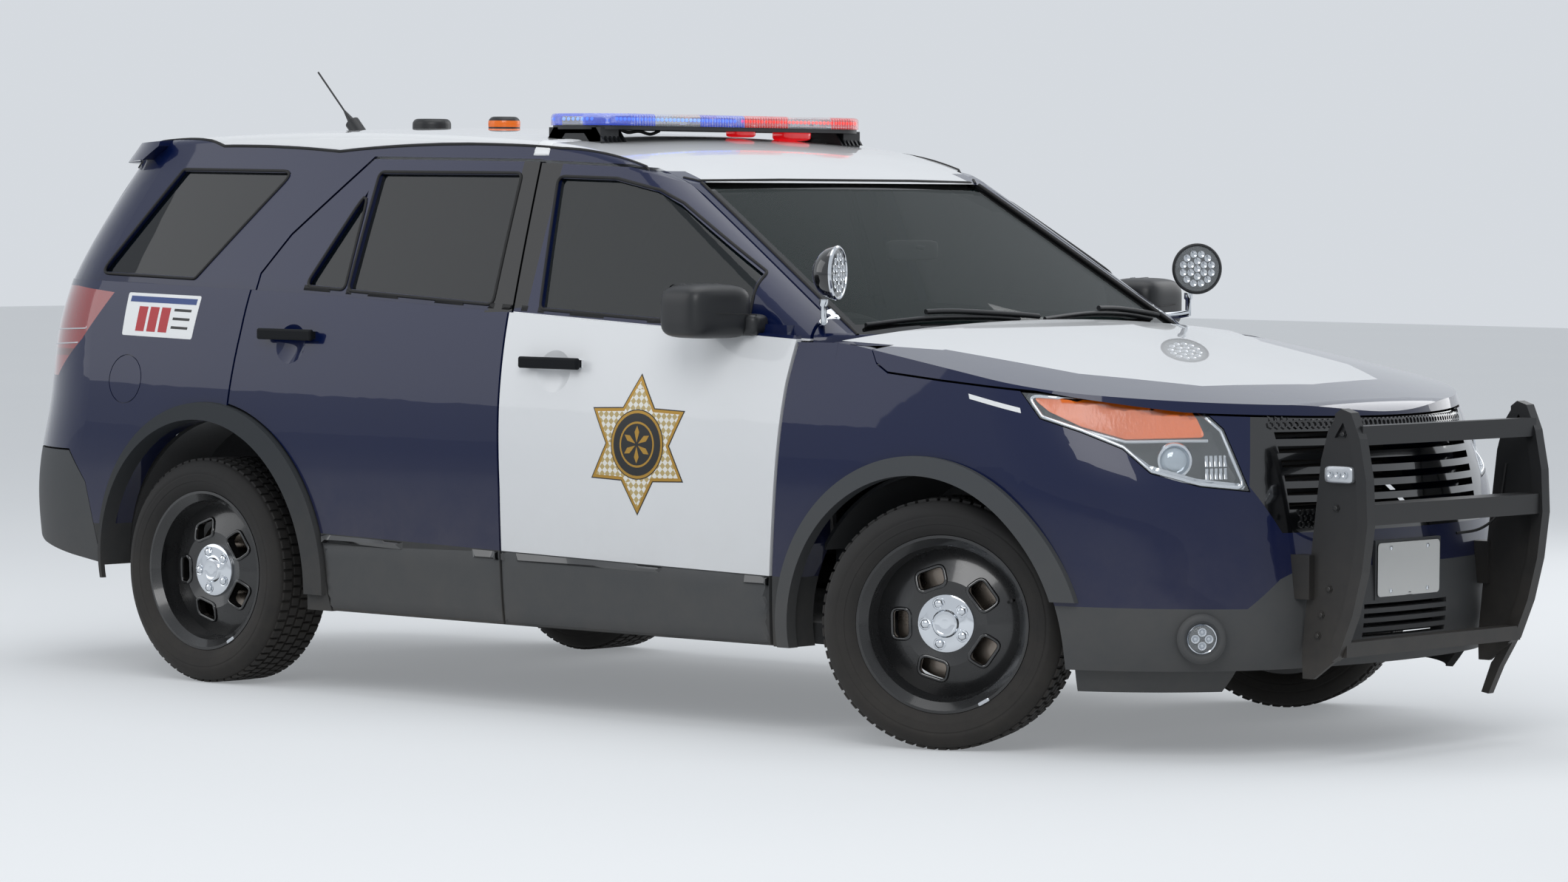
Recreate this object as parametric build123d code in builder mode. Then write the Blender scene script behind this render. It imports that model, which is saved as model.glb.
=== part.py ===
from build123d import *

from math import sqrt
import os

os.makedirs("parts", exist_ok=True)

# Sizes in millimetres. +X runs forward, +Y to the car's left, +Z up, ground at zero.
# Stations are distances ahead of the front axle; st() turns one into x.
axle_front = 1441.3
wheelbase = 2860
track = 1702
hub_height = 348
tyre_radius = 348
tyre_width = 245
kingpin_offset = 780
rest_steer = 24
paint_gap = 8
door_skin = 22
door_depth = 110
frame_depth = 62
glass_inset = 12
glass_thick = 6
panel = 22


def st(station):
    return axle_front + station


rear_station = -wheelbase
wheel_plane = track / 2

# The body below the glass: plan outlines at several heights.
side_arc = 48000
side_mid = -1430
lower_rows = (
    # height, nose, nose radius, half width, tail, tail radius, front corner, rear corner
    (180, 890, 1865, 935, -3950, 1900, 640, 400),
    (260, 945, 1865, 958, -3985, 1900, 655, 440),
    (420, 972, 1865, 974, -4010, 1900, 661, 480),
    (620, 958, 1600, 984, -4021, 1900, 620, 510),
    (790, 942, 1300, 986, -3980, 1900, 550, 515),
    (950, 905, 1100, 974, -3950, 1900, 480, 490),
    (1100, 860, 1100, 946, -3925, 1900, 440, 440),
    (1260, 810, 1100, 893, -3885, 1900, 400, 400),
)
# The body from the belt up, the same way.
upper_arc = 18000
upper_mid = -1800
upper_rows = (
    (1080, -219, 3300, 942, -3950, 2200, 150, 390),
    (1350, -690, 4200, 850, -3850, 2200, 130, 380),
    (1570, -1074, 6000, 770, -3700, 2200, 110, 350),
    (1740, -1370, 8000, 705, -3580, 2200, 100, 320),
)
hood_crown = 9000
roof_crown = 11000
roof_edge = 30
cowl_station = -318
hood_rear = (cowl_station, 1165)
hood_middle = (365, 1052)
hood_front = (820, 972)
hood_nose = (872, 958)
hood_lip = (908, 938)
roof_start = (-1040, 1556)
roof_rise = (-1250, 1632)
roof_bar = (-1634, 1698)
roof_top = (-2600, 1724)
roof_end = (-3900, 1655)
shoulder_line = ((cowl_station, 1126), (-1030, 1145), (-1561, 1171), (-2487, 1213), (-3500, 1236), (-4200, 1240))


def meeting(centre_x, radius, half, arc, mid):
    """Where an end arc meets the side arc, for positive y."""
    sign = 1 if radius > 0 else -1
    y = half
    for _ in range(60):
        x = centre_x + sign * sqrt(max(radius * radius - y * y, 0))
        y = half - arc + sqrt(arc * arc - (x - mid) ** 2)
    return x, y


def plan_block(rows, arc, mid, inset):
    """A block lofted through plan outlines, drawn in by the inset all round."""
    with BuildPart() as block:
        for height, nose, nose_r, half, tail, tail_r, front_r, rear_r in rows:
            r1, r2, ra = nose_r - inset, tail_r - inset, arc - inset
            fx, fy = meeting(st(nose) - nose_r, r1, half - inset, ra, st(mid))
            rx, ry = meeting(st(tail) + tail_r, -r2, half - inset, ra, st(mid))
            with BuildSketch(Plane.XY.offset(height)) as outline:
                with BuildLine():
                    ThreePointArc((fx, -fy), (st(nose) - inset, 0), (fx, fy))
                    ThreePointArc((fx, fy), (st(mid), half - inset), (rx, ry))
                    ThreePointArc((rx, ry), (st(tail) + inset, 0), (rx, -ry))
                    ThreePointArc((rx, -ry), (st(mid), inset - half), (fx, -fy))
                make_face()
                fillet(outline.vertices().group_by(Axis.X)[-1], radius=front_r - inset)
                fillet([v for v in outline.vertices() if abs(v.X - rx) < 0.01], radius=rear_r - inset)
        loft()
    return block.part


def crowned_top(line_pairs, crown, drop, far_station, near_station):
    """Everything above a line of arcs, curved across the car to the crown radius."""
    depth = line_pairs[0][1][1] - crown
    axis = Axis((0, 0, depth), (1, 0, 0))
    with BuildPart() as top:
        with BuildSketch(Plane.XZ):
            with BuildLine():
                for a, b, c in line_pairs:
                    ThreePointArc(*((st(x), z - drop) for x, z in (a, b, c)))
                a, c = line_pairs[0][0], line_pairs[-1][2]
                Polyline(
                    (st(c[0]), c[1] - drop),
                    (st(far_station), c[1] - drop - 60),
                    (st(far_station), 2300),
                    (st(near_station), 2300),
                    (st(near_station), a[1] - drop - 60),
                    (st(a[0]), a[1] - drop),
                )
            make_face()
        revolve(axis=axis, revolution_arc=50)
    return top.part.rotate(axis, -25)


def side_prism(points, near=0, far=1300, grow=0):
    """A prism across the car's right half from an outline of stations and heights."""
    with BuildPart() as prism:
        with BuildSketch(Plane.XZ.offset(near)):
            with BuildLine():
                Polyline(*((st(x), z) for x, z in points), close=True)
            make_face()
            if grow:
                offset(amount=grow, kind=Kind.INTERSECTION)
        extrude(amount=far - near)
    return prism.part


def front_prism(points, rear, front):
    """A prism along the car from an outline of y and height, between two stations."""
    with BuildPart() as prism:
        with BuildSketch(Plane.YZ.offset(st(rear))):
            with BuildLine():
                Polyline(*points, close=True)
            make_face()
        extrude(amount=front - rear)
    return prism.part


def box(x0, x1, y0, y1, z0, z1):
    """A plain block between stations, widths and heights."""
    with BuildPart() as block:
        with Locations((st((x0 + x1) / 2), (y0 + y1) / 2, (z0 + z1) / 2)):
            Box(x1 - x0, y1 - y0, z1 - z0)
    return block.part


def cross_cylinder(station, height, radius, y0, y1):
    """A round bar across the car."""
    with BuildPart() as bar:
        with BuildSketch(Plane.XZ.offset(-y1)):
            with Locations((st(station), height)):
                Circle(radius)
        extrude(amount=y1 - y0)
    return bar.part


def save(piece, name, mirrored=None):
    """Writes a piece, and its mirror image on the car's left when that is named."""
    piece.label = name
    export_step(piece, f"parts/{name}.step")
    if mirrored:
        other = piece.mirror(Plane.XZ)
        other.label = mirrored
        export_step(other, f"parts/{mirrored}.step")


hood_line = ((hood_rear, hood_middle, hood_front), (hood_front, hood_nose, hood_lip))
roof_line = ((roof_start, roof_rise, roof_bar), (roof_bar, roof_top, roof_end))
lower_made = {}
upper_made = {}


def lower(inset, shoulder_lift=25):
    """The lower body, drawn in by the inset, cut to the hood and the shoulder line."""
    if (inset, shoulder_lift) not in lower_made:
        block = plan_block(lower_rows, side_arc, side_mid, inset)
        block -= crowned_top(hood_line, hood_crown, max(inset, 0), 1300, cowl_station - 0.5)
        cut = [(x, z + shoulder_lift) for x, z in shoulder_line] + [(-4200, 2300), (cowl_station, 2300)]
        lower_made[inset, shoulder_lift] = block - side_prism(cut, near=-1300)
    return lower_made[inset, shoulder_lift]


def upper(inset):
    """The body round the glass and roof, drawn in by the inset."""
    if inset not in upper_made:
        block = plan_block(upper_rows, upper_arc, upper_mid, inset)
        block -= crowned_top(roof_line, roof_crown, max(inset, 0), -4200, 0)
        if not inset:
            edges = [e for e in block.edges() if e.length > 1500 and abs(e.center().Y) > 500]
            block = block.fillet(roof_edge, edges)
        upper_made[inset] = block
    return upper_made[inset]


lower_out = lower(0, 0)
lower_skin = lower(door_skin)
lower_in = lower(door_depth)
lower_thin = lower(panel)
upper_out = upper(0)
upper_skin = upper(door_skin)
upper_in = upper(frame_depth)
skin_wall = lower_out - lower_skin
inner_wall = lower_skin - lower_in
thin_wall = lower_out - lower_thin
upper_skin_wall = upper_out - upper_skin
upper_inner_wall = upper_skin - upper_in
glass_shell = upper(glass_inset) - upper(glass_inset + glass_thick)

# Outlines seen from the side: station and height.
arch_front = (0, 291, 465)
flare_front = (12, 291, 520)
arch_rear = (-2872, 345, 470)
flare_rear = (-2838, 353, 516)
flare_stand = 17
sill_low = 252
sill_top = 362
door_near = 690
door_front = (
    (-1572, sill_low), (-1572, 660), (-1592, 1184), (-1626, 1617), (-1271, 1605), (-1155, 1585), (-1065, 1548),
    (-880, 1453), (-692, 1342), (-569, 1265), (-498, 1217), (-466, 1118), (-485, 993), (-531, 452), (-540, sill_low),
)
door_rear = (
    (-1572, sill_low), (-1572, 660), (-1592, 1184), (-1626, 1620), (-2333, 1626), (-2617, 1389), (-2713, 1268),
    (-2724, 1089), (-2747, 870), (-2747, 700), (-2330, 400), (-2300, sill_low),
)
window_front = (
    (-1535, 1567), (-1312, 1562), (-1136, 1529), (-1047, 1492), (-856, 1383), (-706, 1298), (-700, 1165),
    (-1032, 1168), (-1480, 1189),
)
window_rear = ((-1684, 1198), (-1697, 1576), (-2288, 1577), (-2296, 1228))
window_rear_back = ((-2322, 1230), (-2322, 1526), (-2487, 1238))
quarter_window = ((-2695, 1578), (-3215, 1582), (-3491, 1262), (-3024, 1252))
hood_gap = ((-300, 1119), (-199, 1108), (-172, 1063), (-129, 1039), (62, 1022), (365, 1000), (686, 944), (960, 925))
windshield_view = ((-752, 1132), (752, 1132), (640, 1557), (-640, 1557))
pillar_view = ((-806, 1100), (806, 1100), (686, 1560), (-686, 1560))
pillar_inner_view = ((-798, 1100), (798, 1100), (678, 1560), (-678, 1560))
half_gap = paint_gap / 2


def arch_bar(arch, near=-1300, far=1300, grow=0):
    """A round bar across the car on a wheel arch's circle."""
    return cross_cylinder(arch[0], arch[1], arch[2] + grow, near, far)


rear_door_cut = arch_bar(flare_rear, grow=paint_gap)
handle_long, handle_stand = 236, 38
grip_thick, grip_tall, grip_round = 18, 34, 7
post_wide, post_tall = 24, 22
dish_radius, dish_depth = 156, 10


def add_handle(piece, station, height, half_width):
    """Adds a pull handle over a round finger dish in a right door's outer face."""
    x, y = st(station), -half_width
    with BuildPart() as dish:
        with Locations((x, y - dish_radius + dish_depth, height)):
            Sphere(dish_radius)
    with BuildPart() as grip:
        with Locations((x, y - handle_stand + grip_thick / 2, height)):
            Box(handle_long, grip_thick, grip_tall)
        fillet(grip.edges(), radius=grip_round)
        reach = handle_long / 2 - post_wide + 4
        with Locations((x - reach, y - 8, height), (x + reach, y - 8, height)):
            Box(post_wide, handle_stand + 2, post_tall)
    return piece - dish.part + grip.part


pillar_zone = front_prism(pillar_view, -1300, 300)
pillar_keep = front_prism(pillar_inner_view, -1300, 300)


def door(outline, window, arch):
    """A right door: skin and glass frame to the full outline, inner part drawn in."""
    full = side_prism(outline, near=door_near, grow=-half_gap)
    small = side_prism(outline, near=door_near, grow=-52) - box(-4200, 0, -1300, 0, 0, sill_top + 7)
    skin = (skin_wall & full) + (upper_skin_wall & full)
    inner = (inner_wall & small) + (upper_inner_wall & small)
    if arch:
        skin -= rear_door_cut
        inner -= arch_bar(flare_rear, grow=62)
    return skin + inner - window


front_pane = side_prism(window_front) - pillar_zone
rear_pane = side_prism(window_rear) + side_prism(window_rear_back)
door_fr = door(door_front, front_pane, False) - pillar_zone
# The inner front corners stay clear of the hinge pillar as the door swings.
door_fr -= box(-500.5, -468, -884, -856, 1084, 1114) + box(-494, -478, -808.5, -784, 1154, 1175)
save(add_handle(door_fr, -1371, 1030, 959), "door_front_right", "door_front_left")
save(add_handle(door(door_rear, rear_pane, True), -2493, 1087, 937), "door_rear_right", "door_rear_left")
right_glass = glass_shell & box(-3600, -600, -1300, -door_near, 1000, 1700)
save(right_glass & front_pane, "window_front_right", "window_front_left")
save(right_glass & rear_pane, "window_rear_right", "window_rear_left")
save(right_glass & side_prism(quarter_window), "quarter_glass_right", "quarter_glass_left")
save(glass_shell & front_prism(windshield_view, -1500, 300), "windshield")

# Body side: pillars, sill, roof rail and rear quarter.
side_near = 620
lift_half = 640
lift_low = 712
lift_station = -3560
lift_view = ((-lift_half, lift_low), (lift_half, lift_low), (lift_half, 1900), (-lift_half, 1900))
lift_cut = box(-4300, lift_station + paint_gap, -lift_half - paint_gap, lift_half + paint_gap, 100, 1900)
tail_lamp_view = ((-3352, 1199), (-3560, 1216), (-4200, 1216), (-4200, 930), (-3620, 930), (-3470, 1050))
tail_lamp_cut = side_prism(tail_lamp_view, near=lift_half + paint_gap)

opening = side_prism(door_front, near=door_near - 1, grow=half_gap) - pillar_keep
opening += side_prism(door_rear, near=door_near - 1, grow=half_gap) - arch_bar(flare_rear)
through = side_prism(door_front, near=400, grow=-31)
through += side_prism(door_rear, near=400, grow=-31) - arch_bar(flare_rear, grow=41)
through -= box(-4200, 0, -1300, 0, 0, sill_top)
through -= pillar_keep
low_region = side_prism(
    ((-400, 1108), (-4200, 1260), (-4200, 702), (-3500, 702), (-3420, 600), (-3353, 340), (-3200, 340),
     (-3200, sill_low), (-400, sill_low)),
    near=side_near,
)
skin_region = side_prism(
    ((-560, 1118), (-560, 1200), (-4200, 1260), (-4200, 702), (-3500, 702), (-3420, 600), (-3353, 340),
     (-3200, 340), (-3200, sill_low), (-560, sill_low)),
    near=side_near,
)
high_region = side_prism(((-345, 1100), (-345, 1900), (-4200, 1900), (-4200, 1180)), near=side_near)
side_skin = (skin_wall & skin_region) + (upper_skin_wall & high_region) - opening
side_inner = (inner_wall & low_region) + (upper_inner_wall & high_region) - through
side_inner -= (upper_out - upper(door_skin + 5)) & opening
body_side = side_skin + side_inner
body_side -= front_prism(windshield_view, -1500, 300)
body_side -= side_prism(quarter_window, near=400)
body_side -= tail_lamp_cut
body_side -= lift_cut
flare_out = lower(-flare_stand)
flare_ring = arch_bar(flare_rear, -1300, -600) & box(-3500, -2000, -1300, -600, 300, 1000)
body_side += (flare_out - lower_out) & flare_ring
body_side -= arch_bar(arch_rear, -1300, -600) + arch_bar(arch_front, -1300, -600, grow=10.3)
spoiler_stand = 45
spoiler_view = ((-3330, 1662), (-3400, 1618), (-3900, 1592), (-3900, 1800), (-3330, 1800))
lip_zone = side_prism(spoiler_view, near=-1300)
side_lip = lip_zone & box(-3900, -3300, -1300, -lift_half - paint_gap, 1500, 1800)
body_side = (body_side - side_lip) + ((upper(-spoiler_stand) - upper_in) & side_lip)
fuel_door, fuel_groove = (-3235, 930, 74), 3
with BuildPart() as fuel_gap:
    with BuildSketch(Plane.XZ.offset(880)):
        with Locations((st(fuel_door[0]), fuel_door[1])):
            Circle(fuel_door[2] + fuel_groove)
            Circle(fuel_door[2], mode=Mode.SUBTRACT)
    extrude(amount=200)
fuel_gap = fuel_gap.part & (lower(-20) - lower(3))
save(body_side - fuel_gap, "body_side_right")
save(body_side.mirror(Plane.XZ), "body_side_left")

tail_lamp = (skin_wall & tail_lamp_cut) - lift_cut
save(tail_lamp, "tail_lamp_right", "tail_lamp_left")

# Roof, with the header over the windshield.
roof_region = front_prism(((-side_near, 1300), (side_near, 1300), (side_near, 1900), (-side_near, 1900)), -4200, 0)
roof_panel = ((upper_out - upper(45)) & roof_region) - front_prism(windshield_view, -1500, 300)
hinge_ears = box(lift_station + 0.3, lift_station + paint_gap, -480, -420, 1640, 1900)
hinge_ears += box(lift_station + 0.3, lift_station + paint_gap, 420, 480, 1640, 1900)
roof_panel &= box(lift_station + paint_gap, 0, -side_near, side_near, 1558, 1900) + hinge_ears
dome_station = -2498
with BuildPart() as dome_hole:
    with Locations((st(dome_station), 0, 1704)):
        Cylinder(8, 40, align=(Align.CENTER, Align.CENTER, Align.MIN))
roof_panel -= dome_hole.part
save(roof_panel, "roof_panel")

# Hood and front fenders share the gap line.
hood_side = ((-318, 1400),) + ((cowl_station, 1119),) + hood_gap[1:] + ((1200, 925), (1200, 1400))
hood_prism = side_prism(hood_side, near=-1300)
save(thin_wall & hood_prism, "hood")


corner_plane = Plane(origin=(st(600), -800, 0), x_dir=(sqrt(0.5), sqrt(0.5), 0), z_dir=(sqrt(0.5), -sqrt(0.5), 0))
corner_base = (600 - 800) * sqrt(0.5)


def corner_prism(points, near=-100, far=700, grow=0):
    """A prism square to the right front corner: distance along the corner and height."""
    with BuildPart() as prism:
        with BuildSketch(corner_plane.offset(near)):
            with BuildLine():
                Polyline(*((s - corner_base, z) for s, z in points), close=True)
            make_face()
            if grow:
                offset(amount=grow, kind=Kind.INTERSECTION)
        extrude(amount=far - near)
    return prism.part


headlamp_view = ((-425, 999), (-200, 985), (60, 958), (125, 900), (194, 730), (50, 745), (-87, 781), (-160, 845), (-268, 888),
                 (-375, 923))
headlamp_cut = corner_prism(headlamp_view, near=-260)
grille_view = ((-500, 945), (500, 945), (560, 745), (480, 618), (-480, 618), (-560, 745))
grille_cut = front_prism(grille_view, 500, 1200)
hood_cut = side_prism(((-317.5, 1400), (-317.5, 1113)) + tuple((x, z - 6) for x, z in hood_gap[1:])
                      + ((1200, 920), (1200, 1400)), near=-1300)
front_wall = (lower_out - lower(45)) - hood_cut
headlamp = front_wall & corner_prism(headlamp_view, near=-260, grow=-0.3)
headlamp &= box(-600, 1200, -1300, -505, 100, 1400)
save(headlamp - grille_cut, "headlamp_right", "headlamp_left")

fender_view = ((-466, 1112), (-317.5, 1113), (-317.5, 1400), (520, 1400), (517, 894), (324, 730), (324, 340),
               (-300, 340), (-300, sill_low), (-533, sill_low), (-524, 452), (-478, 993), (-459, 1105))
fender = (lower_out - plan_block(lower_rows, side_arc, side_mid, panel)) & side_prism(fender_view, near=780)
fender -= headlamp_cut
fender -= hood_cut
fender -= arch_bar(flare_front)
save(fender, "fender_right", "fender_left")
cladding_end = 430
flare = (flare_out - lower_thin) & (arch_bar(flare_front, -1300, -600, grow=-0.3) - arch_bar(arch_front))
flare -= box(0, 1200, -1300, 0, 0, cladding_end + 0.3) + box(-600, 0, -1300, 0, 0, sill_low)
save(flare, "arch_flare_right", "arch_flare_left")

# Front bumper: painted upper part, plain lower part, grille between the lamps.
bumper_low = 246
bumper_low_view = ((-1300, 150), (1300, 150), (1300, 424), (600, 416), (500, 494), (430, 520), (-430, 520), (-500, 494),
                   (-600, 416), (-1300, 424))
bumper_zone = side_prism(((324, 100), (324, 730), (517, 894), (560, 950), (1200, 950), (1200, 100)), near=-1300)
bumper_wall = front_wall & bumper_zone
left_headlamp_cut = headlamp_cut.mirror(Plane.XZ)
bumper_wall -= headlamp_cut
bumper_wall -= left_headlamp_cut
bumper_wall -= arch_bar(arch_front) + (arch_bar(flare_front) - box(0, 1200, -1300, 1300, 0, cladding_end))
bumper_wall -= box(0, 1200, -1300, 1300, 0, bumper_low) + arch_bar(arch_front, -885.3, 885.3, 10.3)
low_cut = front_prism(bumper_low_view, 200, 1200)
grille = (front_wall & front_prism(grille_view, 500, 1200)) - headlamp_cut - left_headlamp_cut
slat_pitch, slat_gap = 38, 19
with BuildPart() as grille_slots:
    with BuildSketch(Plane.YZ.offset(st(500))):
        with Locations((0, 785)):
            with GridLocations(slat_pitch, slat_pitch, 1, 6):
                Rectangle(900, slat_gap)
    extrude(amount=700)
grille -= grille_slots.part
save(grille, "grille")
bumper_wall -= grille_cut
save(bumper_wall - low_cut, "bumper_front_upper")
plate_width, plate_height = 305, 152
plate_centre = 505
bumper_lower = bumper_wall & low_cut
with BuildPart() as intake_slots:
    with BuildSketch(Plane.YZ.offset(st(700))):
        with Locations((0, 368)):
            with GridLocations(26, 26, 1, 4):
                Rectangle(400, 13)
    extrude(amount=500)
bumper_lower -= intake_slots.part
holder = box(940, 968, -plate_width / 2 - 6, plate_width / 2 + 6, plate_centre - plate_height / 2 - 6,
             plate_centre + plate_height / 2 + 6) - lower(-0.3)
fog_place = (53 - corner_base, 338)
fog_bezel, fog_lens = 60, 35
with BuildPart() as fog_recess:
    with BuildSketch(corner_plane.offset(66)):
        with Locations(fog_place):
            Circle(fog_bezel)
    extrude(amount=300, taper=-12)
with BuildPart() as fog_lamp:
    with BuildSketch(corner_plane.offset(56)):
        with Locations(fog_place):
            Circle(fog_lens)
    extrude(amount=20)
for piece, add in ((fog_recess.part, False), (fog_lamp.part, True)):
    both = piece + piece.mirror(Plane.XZ)
    bumper_lower = bumper_lower + both if add else bumper_lower - both
dam = box(300, 930, -1300, 1300, 182, bumper_low) & (lower(40) - lower(62))
dam -= box(300, 1000, -560, 560, 0, 300) + arch_bar(arch_front)
save(bumper_lower + (box(940, 960, -140, 140, 440, 510) - lower(45)) + holder + dam, "bumper_front_lower")

# Liftgate, its glass with the spoiler, and the rear bumper.
glass_view = ((-575, 1262), (575, 1262), (540, 1590), (-540, 1590))
gate_depth, gate_frame = 90, 50
lift_region = front_prism(lift_view, -4300, lift_station)
low_gate = (lower_out - lower(gate_depth)) & lift_region
high_gate = (upper_out - upper(gate_frame) - lip_zone) + ((upper(-spoiler_stand) - upper(gate_frame)) & lip_zone)
high_gate &= lift_region & box(-4300, lift_station, -900, 900, 1200, 1900)
liftgate = low_gate + high_gate - front_prism(glass_view, -4300, lift_station)
plate_hole_gap = 178
with BuildPart() as bracket:
    with Locations((st(-3960), 0, 850)):
        Box(70, 330, 170)
liftgate += bracket.part - lower(1)
with BuildPart() as plate_holes:
    with BuildSketch(Plane.YZ.offset(st(-4010))):
        with Locations((-plate_hole_gap / 2, 905), (plate_hole_gap / 2, 905)):
            Circle(3.2)
    extrude(amount=24)
liftgate -= plate_holes.part
save(liftgate, "liftgate")
lift_glass = glass_shell & front_prism(glass_view, -4300, lift_station)
save(lift_glass, "liftgate_glass")
bumper_rear_zone = side_prism(((-3357, 346), (-3422, 599), (-3502, 696), (-4200, 696), (-4200, 452), (-3850, 436),
                               (-3700, 398), (-3500, 366)), near=-1300)
bumper_rear = (lower_out - lower(70)) & bumper_rear_zone
bumper_rear -= arch_bar(arch_rear, grow=1)
save(bumper_rear, "bumper_rear")

# Floor pan, bulkhead, wheel houses.
floor_low, floor_top, seat_gap = 255, 315, 0.3
load_low, load_top = 480, 540
floor_view = ((-403, floor_low), (-2300, floor_low), (-2450, load_low), (-3810, load_low), (-3810, load_top),
              (-2415, load_top), (-2270, floor_top), (-403, floor_top))
floor_half = 822
floor = side_prism(floor_view, near=-floor_half, far=floor_half)
with BuildPart() as floor_plan:
    with BuildSketch(Plane.XY):
        with BuildLine():
            Polyline((st(-300), -900), (st(-3450), -900), (st(-3810), -540), (st(-3810), 540), (st(-3450), 900),
                     (st(-300), 900), close=True)
        make_face()
    extrude(amount=1000)
floor &= floor_plan.part
floor -= arch_bar(arch_rear, -1300, -590, 12) + arch_bar(arch_rear, 590, 1300, 12)
for a, b in ((-floor_half, -590), (590, floor_half)):
    inner, outer = (a, -602) if a < 0 else (602, b)
    house = arch_bar(arch_rear, a, b, 12) - arch_bar(arch_rear, inner, outer)
    floor += house & box(-3400, -2300, -900, 900, hub_height, 900)
for side in (-1, 1):
    floor -= box(-3362, -3334, min(side * 819.8, side * 824), max(side * 819.8, side * 824), 340, 380)
save(floor, "floor_pan")
bulkhead = box(-430, -402.3, -800, 800, floor_top + seat_gap, 1040) + box(-430, -334, -700, 700, 1040, 1099.7)
bulkhead += box(-430, -334, 0.3 - side_near, side_near - 0.3, 1099, 1126)
bulkhead += (upper_out - upper(40)) & box(-600, -323, -560, 560, 1080, 1131.5)
bulkhead &= upper_out + box(-600, -300, -1000, 1000, 0, 1100)
bulkhead += box(-334, cowl_station - 0.3, -540, -470, 1112, 1144) + box(-334, cowl_station - 0.3, 470, 540, 1112, 1144)
save(bulkhead, "bulkhead")
liner = arch_bar(arch_front, 524, 885, 10) - arch_bar(arch_front, 536, 925)
liner &= box(-399.7, 500, 500, 885, 262, 900)
save(liner.mirror(Plane.XZ), "wheel_liner_right", "wheel_liner_left")

# Cabin: dashboard, steering wheel, seats.
save(side_prism(((-430.3, 820), (-430.3, 1060), (-620, 1040), (-700, 960), (-690, 820)), near=-770, far=770), "dashboard")
steering_radius, grip_radius, boss_radius = 172, 15, 48
column_radius, column_long, column_tilt = 24, 190, -65
with BuildPart() as wheel_ring:
    with BuildSketch(Plane.XZ):
        with Locations((steering_radius, 0)):
            Circle(grip_radius)
    revolve(axis=Axis.Z)
    Cylinder(boss_radius, 2 * grip_radius)
    with PolarLocations(0, 3, start_angle=30):
        Box(steering_radius, 26, 14, align=(Align.MIN, Align.CENTER, Align.CENTER))
    with Locations((0, 0, -column_long / 2)):
        Cylinder(column_radius, column_long)
ring = wheel_ring.part.rotate(Axis.Y, column_tilt).translate((st(-850), 380, 985))
save(ring - box(-700, -400, 0, 770, 700, 1100), "steering_wheel")


def seat(y, width, front, rear, low, name, mirrored=None):
    """A seat: cushion, back and head rest on a plinth."""
    body = side_prism(((front, low + 130), (front + 10, low + 60), (front - 60, low), (rear, low), (rear - 60, low + 150),
                       (rear - 190, low + 720), (rear - 90, low + 730), (rear + 60, low + 190), (front - 60, low + 160)),
                      near=-y - width / 2, far=-y + width / 2)
    body += side_prism(((rear - 190, low + 700), (rear - 200, low + 870), (rear - 120, low + 880), (rear - 95, low + 700)),
                       near=-y - 120, far=-y + 120)
    body += box(rear + 40, front - 80, y - width / 2 + 60, y + width / 2 - 60, floor_top + seat_gap, low + 5)
    save(body, name, mirrored)


seat(-380, 520, -960, -1460, 420, "seat_front_right", "seat_front_left")
save(side_prism(((-1900, 430), (-1900, 560), (-2300, 555), (-2480, 1090), (-2570, 1090), (-2430, 541), (-2400, 541),
                 (-2325, 430)), near=-580, far=580) + box(-2220, -2000, -560, 560, floor_top + seat_gap, 435), "seat_rear")

# Engine as a plain block, front cross member with lower arms, rear carrier.
save(box(-250, 330, -330, 330, 300.3, 900), "engine")
arm_end = kingpin_offset + 16.5
cross = box(-402.7, 420, -430, 430, 235, 300)
for side in (-1, 1):
    cross += box(-120, 120, min(side * 420, side * 520), max(side * 420, side * 520), 236, 260)
    cross += box(-30, 30, min(side * 500, side * arm_end), max(side * 500, side * arm_end), 222, 250)
    with BuildPart() as ball_joint:
        with Locations((st(0), side * kingpin_offset, 240)):
            Cylinder(16, hub_height - 56.3 - 240, align=(Align.CENTER, Align.CENTER, Align.MIN))
    cross += ball_joint.part
save(cross, "front_cross_member")
carrier = cross_cylinder(rear_station, 300, 60, -560, 560)
carrier += box(rear_station - 150, rear_station + 150, -420, 420, 300, 479.7)
for side in (-1, 1):
    carrier += box(rear_station - 50, rear_station + 50, min(side * 540, side * 690), max(side * 540, side * 690), 280, 330)
    carrier += cross_cylinder(rear_station, hub_height, 60, min(side * 680, side * 812.7), max(side * 680, side * 812.7))
    carrier += box(rear_station - 50, rear_station + 50, min(side * 680, side * 716), max(side * 680, side * 716), 290, 400)
save(carrier, "rear_carrier")

# Wheels. A wheel is drawn round the y axis with its outer face toward negative y.
window_turn = 110
windows, window_circle, window_wide, window_long, window_round = 5, 130, 56, 84, 20
cap_radius, cap_out, cap_boss = 79, 62, 34
lug_circle, lug_radius = 58, 12
disc_radius, disc_thick = 162, 14
rim_outline = (
    (222, 105), (246, 105), (246, 96), (232, 92), (229, 70), (222, 60), (222, -60), (229, -70), (232, -92), (246, -96),
    (246, -105), (238, -106), (216, -84), (212, -60), (205, -28), (160, -48), (118, -66), (84, -58), (40, -58),
    (40, -30), (110, -34), (160, -18), (198, 5), (212, 20), (212, 100),
)
bead_outline = (
    (246.5, 104), (246.5, 95.5), (232.5, 91.4), (229.5, 69.6), (222.4, 59.6), (222.4, -59.6), (229.5, -69.6),
    (232.5, -91.4), (246.5, -95.5), (246.5, -104),
)
wall_radius, shoulder_radius, shoulder_half, tread_half = 290, 333, 105, 84

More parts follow.
